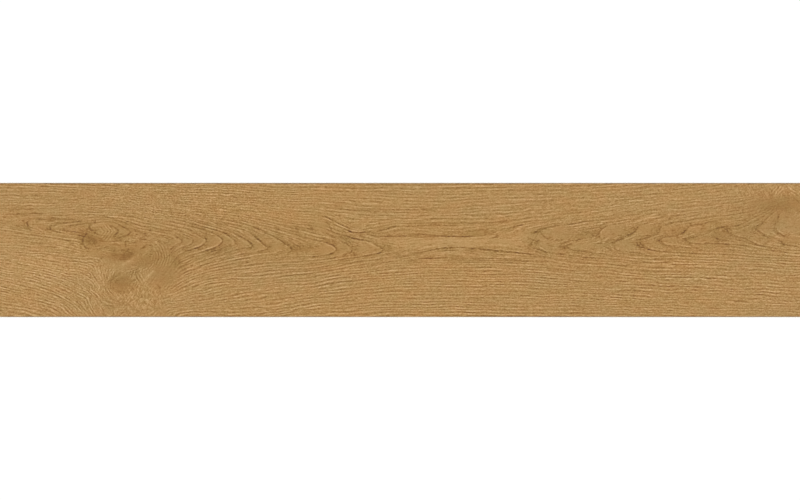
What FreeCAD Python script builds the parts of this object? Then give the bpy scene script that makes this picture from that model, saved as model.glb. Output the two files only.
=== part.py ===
"""Wood-look porcelain plank tile, one pressed and fired slab.

Frame: millimetres, +Z up, the decorated face up. The origin is the centre of
the back face, so the tile lies on z = 0. +X runs along the plank's length and
+Y across it.

The slab is a rectified plank: its four edges are ground square, with a micro
bevel round the face and a smaller arris round the back. The back carries
shallow lengthwise keying grooves for the adhesive. They stop short of the
edges, so the back is one connected bonding face.
"""

import FreeCAD
import Part
import Sketcher

import os

# ---------------------------------------------------------------- dimensions
DIMENSIONS = [
    # alias, value in mm (or a plain count), what it is
    ("plank_length", "1200", "nominal length of the plank, along X"),
    ("plank_width", "200", "nominal width of the plank, along Y"),
    ("thickness", "9", "overall thickness, along Z"),
    ("face_bevel", "0.8", "micro bevel round the decorated face"),
    ("back_arris", "0.5", "arris taken off round the back"),
    ("groove_width", "5", "width of one keying groove at the back face"),
    ("groove_depth", "0.6", "depth of a keying groove"),
    ("groove_pitch", "12", "distance between neighbouring grooves"),
    ("groove_count", "15", "number of keying grooves"),
    ("groove_margin", "14", "plain band between a groove's end and the tile's end"),
    ("groove_draft", "30", "draft of a groove's walls, degrees"),
]

doc = FreeCAD.newDocument("plank_tile")
sheet = doc.addObject("Spreadsheet::Sheet", "dims")
for row, (alias, value, note) in enumerate(DIMENSIONS, start=1):
    sheet.set(f"A{row}", note)
    sheet.set(f"B{row}", value)
    sheet.setAlias(f"B{row}", alias)
doc.recompute()


def dim(alias):
    return float(sheet.get(alias))


def origin_plane(body, role):
    return next(f for f in body.Origin.OriginFeatures if f.Role == role)


def centred_rectangle(sketch, width, depth, y_middle):
    """A rectangle with named driving constraints: span_x, span_y, and the
    places of its left and lower sides."""
    x0, x1 = -width / 2, width / 2
    y0, y1 = y_middle - depth / 2, y_middle + depth / 2
    corners = [(x0, y0), (x1, y0), (x1, y1), (x0, y1)]
    for a, b in zip(corners, corners[1:] + corners[:1]):
        sketch.addGeometry(
            Part.LineSegment(FreeCAD.Vector(*a, 0), FreeCAD.Vector(*b, 0)), False
        )

    def add(*args):
        return sketch.addConstraint(Sketcher.Constraint(*args))

    for i in range(4):
        add("Coincident", i, 2, (i + 1) % 4, 1)
    for side in (0, 2):
        add("Horizontal", side)
    for side in (1, 3):
        add("Vertical", side)
    for name, args in [
        ("span_x", ("DistanceX", 0, 1, 0, 2, width)),
        ("span_y", ("DistanceY", 1, 1, 1, 2, depth)),
        ("left", ("DistanceX", 0, 1, -1, 1, width / 2)),
        ("lower", ("DistanceY", 0, 1, -1, 1, -y0)),
    ]:
        sketch.renameConstraint(add(*args), name)


# ---------------------------------------------------------------- the slab
body = doc.addObject("PartDesign::Body", "plank_tile")
body.Label = "plank_tile"

outline = body.newObject("Sketcher::SketchObject", "slab_outline")
outline.AttachmentSupport = (origin_plane(body, "XY_Plane"), [""])
outline.MapMode = "FlatFace"
centred_rectangle(outline, dim("plank_length"), dim("plank_width"), 0.0)
outline.setExpression("Constraints.span_x", "dims.plank_length")
outline.setExpression("Constraints.span_y", "dims.plank_width")
outline.setExpression("Constraints.left", "dims.plank_length / 2")
outline.setExpression("Constraints.lower", "dims.plank_width / 2")
doc.recompute()

slab = body.newObject("PartDesign::Pad", "slab")
slab.Profile = outline
slab.setExpression("Length", "dims.thickness")
doc.recompute()


def edges_at(feature, height):
    """Names of the straight edges of a feature that lie at one height."""
    found = []
    for i, e in enumerate(feature.Shape.Edges, start=1):
        if all(abs(v.Z - height) < 1e-6 for v in e.Vertexes):
            found.append(f"Edge{i}")
    return found


# micro bevel round the decorated face
bevel = body.newObject("PartDesign::Chamfer", "face_bevel_cut")
bevel.Base = (slab, edges_at(slab, dim("thickness")))
bevel.setExpression("Size", "dims.face_bevel")
doc.recompute()

# arris round the back
arris = body.newObject("PartDesign::Chamfer", "back_arris_cut")
arris.Base = (bevel, edges_at(bevel, 0.0))
arris.setExpression("Size", "dims.back_arris")
doc.recompute()
volume_before = arris.Shape.Volume

# ---------------------------------------------------------------- back relief
# One groove near the -Y edge, then its row across the back.
groove_profile = body.newObject("Sketcher::SketchObject", "groove_outline")
groove_profile.AttachmentSupport = (origin_plane(body, "XY_Plane"), [""])
groove_profile.MapMode = "FlatFace"
first = -(dim("groove_count") - 1) / 2 * dim("groove_pitch")
centred_rectangle(
    groove_profile,
    dim("plank_length") - 2 * dim("groove_margin"),
    dim("groove_width"),
    first,
)
groove_profile.setExpression(
    "Constraints.span_x", "dims.plank_length - 2 * dims.groove_margin"
)
groove_profile.setExpression("Constraints.span_y", "dims.groove_width")
groove_profile.setExpression(
    "Constraints.left", "dims.plank_length / 2 - dims.groove_margin"
)
groove_profile.setExpression(
    "Constraints.lower",
    "(dims.groove_count - 1) / 2 * dims.groove_pitch + dims.groove_width / 2",
)
doc.recompute()

groove = body.newObject("PartDesign::Pocket", "keying_groove")
groove.Profile = groove_profile
groove.Reversed = True  # cuts up, into the slab
groove.setExpression("Length", "dims.groove_depth")
groove.setExpression("TaperAngle", "-dims.groove_draft")
doc.recompute()

grooves = body.newObject("PartDesign::LinearPattern", "keying_grooves")
grooves.Originals = [groove]
grooves.Direction = (groove_profile, ["V_Axis"])
grooves.setExpression("Length", "(dims.groove_count - 1) * dims.groove_pitch")
grooves.setExpression("Occurrences", "dims.groove_count")
body.Tip = grooves
doc.recompute()

# ---------------------------------------------------------------- checks
for obj in doc.Objects:
    bad = {"Invalid", "Error"} & set(obj.State)
    if bad:
        raise RuntimeError(f"{obj.Name} failed: {obj.State}")
shape = body.Shape
if shape.isNull() or not shape.isValid() or len(shape.Solids) != 1:
    raise RuntimeError("the tile isn't one valid solid")

L, W, T = dim("plank_length"), dim("plank_width"), dim("thickness")
box = shape.BoundBox
for got, want in [
    (box.XMin, -L / 2), (box.XMax, L / 2), (box.YMin, -W / 2),
    (box.YMax, W / 2), (box.ZMin, 0.0), (box.ZMax, T),
]:
    if abs(got - want) > 1e-6:
        raise RuntimeError(f"extent {got} instead of {want}")
removed = volume_before - shape.Volume
print("slab volume cm3", round(volume_before / 1000, 2))
print("tile volume cm3", round(shape.Volume / 1000, 2))
print("grooves cm3", round(removed / 1000, 2))
one_groove = (L - 2 * dim("groove_margin")) * dim("groove_width") * dim("groove_depth")
share = removed / (one_groove * dim("groove_count"))
print("groove share of a square-walled one", round(share, 3))
if not 0.75 < share < 1.0:
    raise RuntimeError("the keying grooves weren't cut as drawn")

os.makedirs("parts", exist_ok=True)
for sub_part in [body]:
    sub_part.Shape.exportStep(f"parts/{sub_part.Label}.step")
    print("wrote", sub_part.Label, "faces", len(sub_part.Shape.Faces))
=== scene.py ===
"""Wood-look porcelain plank tile: the finished tile around its CAD solid.

The tile is one closed mesh. Its face is a fine grid with the wood relief in
it, its edges and its back follow the CAD solid. The wood figure is made here:
year rings are contours of a smooth field fitted to drawn curves, and the
grain lines run along those contours. The same formula gives the relief of the
face (at the grid's points) and its colour (in the shader, at any scale).

Curves are in figure units of about 1.5 mm, x along the plank from its left end
and y down across it; the middle of the tile is (400, 250).
"""

import math

import bpy
import numpy as np
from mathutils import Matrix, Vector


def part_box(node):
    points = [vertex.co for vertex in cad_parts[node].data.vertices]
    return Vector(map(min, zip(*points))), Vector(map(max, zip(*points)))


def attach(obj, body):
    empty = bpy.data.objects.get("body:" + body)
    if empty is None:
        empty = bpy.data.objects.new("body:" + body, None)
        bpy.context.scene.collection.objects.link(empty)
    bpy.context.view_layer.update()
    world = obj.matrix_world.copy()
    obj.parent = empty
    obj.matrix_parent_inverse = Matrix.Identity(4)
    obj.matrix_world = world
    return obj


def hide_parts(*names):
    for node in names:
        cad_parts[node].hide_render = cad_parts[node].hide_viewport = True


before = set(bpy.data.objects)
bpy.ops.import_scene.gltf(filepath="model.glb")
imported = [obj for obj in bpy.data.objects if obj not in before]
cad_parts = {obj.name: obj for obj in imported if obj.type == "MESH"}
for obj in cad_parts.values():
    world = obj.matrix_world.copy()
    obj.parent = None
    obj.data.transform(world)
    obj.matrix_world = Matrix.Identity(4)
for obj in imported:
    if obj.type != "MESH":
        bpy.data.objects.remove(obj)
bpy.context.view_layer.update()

UNIT = 0.2 / 134  # metres in one figure unit
MIDDLE = (400.0, 250.0)

# ---------------------------------------------------------------- the wood figure
# Year rings: value, then points. Higher values are nearer the pith.
RINGS = [
    # value, points
    (1, [(216, 273), (230, 269.8), (245, 268), (262, 266.6), (280, 265.5), (300, 264.5), (320, 262), (340, 259.3), (360, 256.8), (375, 253.4), (384, 251),
         (389.5, 248.8), (385, 246.5), (376, 243), (366, 241), (356, 239.8), (349, 238.4), (338, 235.4), (326, 231), (312, 227), (296, 224), (280, 221.6)]),
    (2, [(220, 268), (235, 265.2), (250, 263.6), (265, 262.4), (280, 261.5), (300, 260.5), (320, 259.2), (335, 256.8), (345, 253.6), (351.5, 249.8),
         (346, 244), (339, 240.2), (328, 237.2), (316, 234.2), (305, 231.6), (292, 228.6), (278, 225.4), (262, 222)]),
    (3, [(212, 267.8), (222, 264.6), (235, 261.8), (250, 259.6), (265, 258), (280, 257), (300, 256.3), (316, 256), (326, 254.5), (332, 252.8), (336.5, 250.3),
         (332, 246), (324, 242.4), (314, 240), (304, 237.6), (294, 235), (282, 231.8), (268, 227.6), (250, 222.8)]),
    (4, [(210, 265.3), (220, 262.3), (230, 260), (240, 258.5), (250, 257), (260, 255.3), (270, 254), (280, 252.5),
         (292, 250.6), (288, 246.5), (283, 243), (277, 238.5), (270, 234.8), (261, 231), (250, 227), (236, 223), (220, 219.5)]),
    (5, [(202, 265), (214, 261), (225, 258), (235, 255.6), (245, 253), (255, 251), (263, 249.6), (268, 248.3),
         (263, 245), (258.5, 240.8), (253.5, 236.3), (248, 232.5), (240, 229), (226, 225.2), (211, 220.8), (196, 217)]),
    (6, [(193, 265.4), (200, 262), (210, 257.6), (220, 254.2), (228, 252), (236, 249.8), (245, 247.6), (254, 246.4),
         (249, 242.2), (243, 238.2), (236.5, 234.6), (229, 231.4), (216, 227.6), (202, 223.5), (188, 220), (172, 216.5)]),
    (7, [(186, 262.6), (192, 259.7), (200, 257), (208, 254.6), (216, 252), (224, 249), (231, 246), (237.5, 243.8),
         (234, 240), (229.5, 236.5), (223, 233), (214, 230.2), (202, 226.8), (188, 223), (172, 220), (156, 217)]),
    (8, [(184, 259.4), (190, 255.4), (200, 252), (209, 249.4), (216, 246.5), (220, 244), (223, 240.8),
         (219.5, 237.6), (214, 233.8), (206, 230.8), (194, 228), (180, 224.8), (164, 221.5), (148, 218.6)]),
    (9, [(171, 263), (175, 257), (181, 252.4), (189, 249.8), (196, 247.8), (202, 245), (206.5, 241),
         (203.5, 237), (198, 234), (190, 231), (178, 228), (164, 225), (150, 222), (134, 218)]),
    (10, [(170, 262), (173.5, 255.5), (178, 250.5), (183, 247.6), (188.5, 245.4), (193.5, 241.3),
          (190, 237.6), (184, 234.8), (174, 232), (162, 229.4), (148, 226.5), (134, 223), (120, 219.6), (106, 217.4)]),
    (11, [(168.5, 255), (171, 251), (174.5, 247), (179, 243.8), (182, 241), (178, 238), (172, 235.2), (162, 233),
          (150, 231), (138, 228), (124, 223.4), (112, 220.2)]),
    (12, [(165.5, 255), (167, 249.5), (169.5, 243), (167, 238.8), (160, 236.2), (150, 234.6), (140, 233), (128, 228.5), (116, 224)]),
    # far left, pointing left
    (10, [(80, 238), (66, 235.4), (50, 233), (40, 231.5), (32, 229), (27, 226), (24.6, 223.3), (27, 220.6), (31, 218.9), (40, 218.7),
          (52, 219.2), (70, 219.3), (90, 218.6), (106, 217.4)]),
    (11, [(76, 234.5), (64, 232.6), (55, 231.4), (50, 229.6), (46.6, 226.8), (50, 224.8), (60, 223.6), (72, 223.2), (84, 222)]),
    (12, [(76, 231.6), (67, 230.6), (62.6, 229.3), (67, 228), (75, 226), (82, 224.6)]),
    # far left, the grain below
    (9.5, [(0, 226), (10, 227), (25, 231), (45, 235.5), (70, 239)]),
    (8.2, [(0, 234), (30, 237), (60, 240), (76, 243), (84, 248)]),
    (6.4, [(0, 243), (40, 244.6), (65, 247), (80, 251), (95, 252.5)]),
    (4.8, [(0, 251), (50, 253.5), (75, 256.5), (100, 258)]),
    (3.0, [(0, 257.4), (20, 259), (40, 262), (60, 264.8), (80, 267), (90, 270.4), (97, 279), (101, 288)]),
    (1.2, [(0, 264), (15, 266.8), (30, 270), (45, 273.2), (60, 276.6), (75, 281), (86, 288), (95, 297), (102, 306), (107, 314)]),
    (-1.0, [(0, 272), (15, 275.2), (30, 278.6), (45, 282.4), (58, 286.6), (70, 292.4), (80, 299.6), (88, 307.6), (93, 315)]),
    (-4.0, [(0, 283.6), (15, 287.2), (30, 290.6), (45, 294.6), (58, 299.4), (68, 305), (76, 311.6)]),
    (-6.4, [(0, 296), (15, 298.8), (30, 301.6), (45, 305), (56, 309)]),
    # the light lens in the middle
    (0.55, [(404, 245.5), (420, 243.5), (440, 242.2), (460, 242), (480, 242), (500, 241), (522, 240.5)]),
    # middle
    (0, [(215, 276.4), (230, 274), (245, 272.6), (262, 271.4), (280, 270.6), (300, 270), (312, 269), (325, 266.5), (345, 262.6), (362, 260), (382, 258), (396, 256), (404, 254.6), (418, 252.6),
         (430, 250), (447, 247.6), (475, 248), (499, 250), (520, 252.4), (538, 255), (560, 258.8), (590, 261.6), (620, 263.5)]),
    (0, [(284, 217.4), (300, 219), (314, 220.4), (324, 222.8), (332, 226), (340, 229), (348, 232), (356, 233.6), (364, 234.4), (380, 236.8), (400, 236.5), (420, 236.2), (440, 236.8), (468, 237.2), (484, 236),
         (497, 231.5), (508, 229), (520, 226), (535, 223), (560, 219), (580, 216.6)]),
    (-1, [(280, 211.6), (300, 213.4), (314, 214.4), (324, 216.6), (330, 219.4), (335, 221.8), (340, 224.4), (345, 227), (350, 230), (356, 231.6), (366, 230.4), (378, 229.6), (388, 227.6), (396, 226),
          (412, 225.6), (428, 224.8), (440, 224), (456, 224.2), (478, 223.4), (500, 222.6), (515, 220), (535, 217.2), (560, 214.5), (585, 212)]),
    (-1, [(412, 257.6), (430, 257.4), (450, 257.2), (465, 257.6), (480, 258.6), (500, 259.2), (520, 260), (545, 261.6), (568, 264)]),
    # right half, pointing left
    (1, [(600, 258.6), (580, 256.6), (560, 253.8), (546, 252), (538, 248.4), (532, 244), (534, 240.5), (537.5, 236), (540, 231.5), (549, 227.8),
         (562, 225.2), (575, 223.6), (590, 221.6), (605, 219.6), (620, 217.4), (640, 214.4)]),
    (2, [(660, 259.4), (640, 258), (620, 256), (600, 253.4), (582, 251), (570, 248.6), (561.5, 245.6), (570, 242.8), (580, 239.8),
         (590, 238.2), (598, 236.4), (601, 231.5), (608, 225.6), (622, 222.8), (640, 219.8), (660, 216.4)]),
    (3, [(700, 256), (670, 254.6), (640, 252.6), (625, 251.4), (616, 249.4), (609.5, 244.6), (617, 240.8), (626, 237), (633, 233.2),
         (637.5, 229), (642, 224.6), (652, 222.2), (668, 219.6), (686, 217.4)]),
    (4, [(800, 258), (760, 256), (720, 253.4), (690, 252.4), (668, 251.6), (654, 250), (645, 247.6), (637, 242.2), (648, 238),
         (656, 235.4), (660.5, 231), (663.5, 226), (672, 223.4), (686, 221.4), (700, 219.8)]),
    (5, [(800, 255.6), (770, 253), (745, 250.6), (720, 249.2), (700, 248.2), (682, 247), (669, 245), (658, 240.8), (668, 237.6),
         (679, 235.4), (685, 231.2), (690, 226.8), (698, 224.5), (708, 222.6)]),
    (6, [(800, 252.4), (780, 250.4), (765, 248.8), (750, 246.6), (735, 244), (718, 243), (700, 243.6), (691, 242), (684, 239.6), (692, 237.6),
         (702, 235.4), (711, 232), (718, 228.6), (726, 227.5), (736, 226.2), (747, 223.4)]),
    (7, [(800, 250), (786, 249), (770, 247.4), (760, 245.4), (753, 242.4), (748, 239), (740, 236.4), (733, 234.6), (727, 231), (736, 229.6), (748, 226), (758, 220.6)]),
    (8, [(800, 246.8), (790, 245), (782, 242.6), (773, 238.8), (764, 235), (757, 231.6), (752, 229), (757, 226), (763, 222), (770, 215.6), (775, 210)]),
    (9, [(800, 238.4), (792, 237), (784, 235), (779, 232), (775.6, 228.6), (777, 222), (779.5, 215), (784, 209)]),
]
FLOWS = [
    [(0, 189.5), (60, 189.5), (110, 189.5), (150, 191), (200, 191.5), (260, 192), (320, 191), (400, 190.5), (460, 189.5), (520, 187.5), (575, 185.5)],
    [(0, 198), (60, 198.5), (100, 198), (140, 200), (180, 203.5), (230, 205.5), (280, 205.5), (320, 206), (345, 208.5), (380, 210.5), (410, 209.3), (440, 209), (470, 207)],
    [(0, 206), (50, 206.5), (80, 206), (110, 207.5), (150, 210.5), (190, 213), (230, 214.5), (270, 215.5), (300, 217.5)],
    [(0, 214), (45, 213.8), (80, 213.5), (105, 214), (130, 215)],
    # under and right of the knots
    [(103, 305), (112, 308.6), (124, 310), (136, 310), (150, 309)],
    [(103, 293), (108, 297), (118, 299.6), (130, 299.4), (140, 297.6)],
    [(108, 286), (111, 280), (117, 275), (124, 273), (134, 271), (142, 267)],
    [(109, 288), (114, 292), (124, 293), (133, 290), (139, 283), (145, 276)],
    [(101.5, 291), (103, 285), (102, 277), (101, 270)],
    [(106, 290), (106.5, 280), (107, 272), (110, 267)],
    [(110, 268), (118, 263), (127, 260), (134, 256), (140, 252.5), (148, 251)],
    [(157, 270), (162, 263), (165, 256)],
    [(146, 292), (150, 285), (155, 277), (162, 270), (168, 264)],
    [(160, 283), (164, 278), (170, 272), (176, 266)],
    [(174, 283), (180, 279.4), (190, 274.6), (200, 270.6), (210, 267.8), (222, 265.4)],
    [(164, 299), (178, 293), (190, 288.6), (203, 285), (218, 281.8), (234, 279.4), (250, 277.8), (275, 276), (300, 274.4), (325, 271.4), (345, 268), (362, 265.4), (382, 263.2), (402, 262), (430, 261.6)],
    [(178, 287.6), (188, 282.8), (198, 278.8), (208, 275.8), (218, 273.6), (228, 272)],
    [(172, 304), (190, 302), (210, 299.2), (230, 296.4), (250, 294)],
    [(230, 281), (260, 278.8), (300, 276.8), (340, 273.2), (380, 270.4), (420, 269.5), (450, 270)],
    [(170, 300.6), (190, 298), (205, 294.9), (222, 292), (240, 290.4), (270, 288.4), (310, 286), (350, 283.3), (400, 281), (440, 281)],
    [(170, 307), (185, 306), (205, 303.6), (225, 301), (250, 298.8), (280, 296.4), (310, 293.8), (340, 292), (370, 290.8), (400, 290.5), (440, 291)],
    [(200, 311), (230, 309.4), (260, 307.6), (290, 305), (320, 302.6), (350, 300.7), (400, 298.8), (440, 299.5)],
    [(380, 266.6), (400, 265.8), (420, 265.4), (440, 265.6), (470, 266)],
    [(340, 278.6), (370, 276.6), (400, 275.2), (430, 274.8), (460, 275.2), (490, 275.4)],
    [(400, 286), (440, 286), (480, 286.4)],
    [(400, 294.6), (440, 295), (480, 295.6)],
    # above the tips left of the middle
    [(280, 203.4), (300, 204), (320, 204.4), (340, 205.6), (360, 206.8), (380, 207)],
    [(285, 208.6), (305, 210), (320, 211), (335, 213.4), (350, 215), (370, 215.6), (390, 215)],
    [(336, 216.6), (346, 219), (358, 220.6), (374, 220.6), (390, 219.6)],
    [(345, 223), (354, 225.4), (366, 225.4), (380, 224)],
    # right, above
    [(540, 206.6), (570, 205), (600, 203.4), (630, 201.4), (660, 198.6), (690, 196.4)],
    [(570, 212.4), (600, 209.6), (630, 206.6), (660, 203.6), (690, 201.2)],
    [(610, 215.4), (635, 212.4), (660, 209.8), (690, 207.6)],
    [(645, 217), (665, 214.6), (690, 212.6), (715, 211.8)],
    [(690, 217.6), (710, 216.8), (730, 216.2)],
    [(696, 226.6), (710, 225.8), (722, 225.8), (736, 225)],
    [(470, 207), (500, 205.5), (530, 203.5), (560, 202), (600, 200.5), (640, 198), (680, 195), (700, 193)],
    [(470, 198), (520, 196), (560, 194), (600, 192), (650, 189), (690, 186)],
    [(440, 216), (480, 216), (500, 215.5), (520, 214), (545, 211), (575, 208.5), (600, 207), (640, 204), (675, 201.5), (700, 200.5), (720, 198.5), (745, 196), (765, 193)],
    [(600, 211.5), (640, 208.5), (680, 206), (710, 205), (735, 203), (760, 200), (780, 197)],
    [(640, 212.5), (680, 210), (720, 209), (745, 207.5), (768, 205), (790, 203)],
    [(660, 215.5), (700, 213.5), (730, 212.8), (750, 211), (765, 207.6), (780, 202)],
    [(700, 218.6), (740, 217), (760, 213), (772, 208)],
    [(720, 222), (740, 220.5), (757, 216.8), (768, 211.5)],
    # right, below
    [(600, 265), (640, 266.2), (680, 267), (740, 268), (800, 270)],
    [(440, 263), (480, 263.6), (500, 264.5), (540, 267), (580, 268.5), (620, 270), (660, 271.5), (720, 272.5), (800, 275)],
    [(440, 277), (500, 277), (560, 278), (620, 279.5), (700, 281), (800, 283.5)],
    [(440, 291), (500, 291), (540, 291.5), (580, 292), (640, 292.4), (670, 294.5), (720, 296), (800, 300)],
    [(440, 300), (500, 302), (560, 303), (640, 303.4), (700, 305.5), (760, 307), (800, 309)],
    [(300, 312), (400, 311), (500, 311), (600, 311.5), (700, 312.5), (800, 314.5)],
]
SPINE = [(-30, 223.5), (0, 223.5), (25, 223.5), (47, 227), (62, 229), (85, 234), (110, 238), (140, 241), (165, 242), (193, 241), (206, 240.6), (223, 241), (237, 243.5),
         (253, 246.5), (266, 248.5), (292, 250.5), (336, 250.4), (351, 249.6), (389, 248.7), (420, 243), (460, 242), (500, 241), (536, 242.5),
         (562, 245.5), (610, 244.6), (637, 242), (660, 240.8), (684, 239.6), (725, 231), (752, 229), (776, 228.6), (830, 229)]

# x, y, half length, half width, turn in degrees (clockwise on the picture), strength (levels)
BLOBS = [
    (90, 239, 8, 8, 0, -15), (103, 241, 7, 5, 0, -5), (86, 222, 5, 4, 0, -4),
    (114, 255, 8, 5, 0, -14), (128.6, 253, 8, 5, -10, -15), (125, 257, 8, 3, -8, -8), (94, 241, 6, 6, 0, -5), (82, 235, 5, 4, 20, -7), (144, 261, 11, 7, -10, -12), (141, 247, 8, 5, 0, -2),
    (122, 283, 13, 8, -10, -17), (116, 304, 9, 3, 0, -6),
    (161, 257, 9, 8, 20, -8), (178, 262, 8, 7, -20, -8), (164, 277, 13, 10, 0, -9),
    (200, 240, 70, 22, 5, -4), (330, 240, 70, 16, 3, -3), (300, 249, 13, 3.5, 0, -8),
    (460, 242, 66, 5.5, 0, 8), (528, 237, 10, 5, 0, 5), (400, 245, 14, 3.5, 0, 4),
    (386, 248.5, 7, 5, 0, -5), (482, 233.5, 12, 3, 0, -8), (419, 233, 7, 2.5, 10, -5),
    (660, 236, 110, 16, 0, -3), (722, 234.5, 9, 7, 10, -7), (730, 240, 22, 5, 10, -4),
    (786, 206, 18, 7, -3, -8), (773, 205, 28, 10, -5, -9), (790, 188, 10, 4, 0, 4),
    (45, 272, 55, 16, 6, 5), (100, 282, 5, 12, 15, 4), (145, 278, 4, 10, 25, 5), (132, 260, 10, 2.5, -28, 7),
    (118, 262, 46, 32, 0, -2), (60, 200, 70, 18, 0, -1), (430, 200, 110, 14, 0, 1), (650, 290, 150, 24, 0, -1), (450, 240, 90, 18, 0, 2), (760, 235, 50, 25, 0, -1.5), (240, 240, 70, 20, 0, 1.5),
    (640, 205, 40, 4, -4, 3), (20, 214, 25, 8, 0, 1), (788, 232, 12, 3, 15, 4),
]

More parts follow.
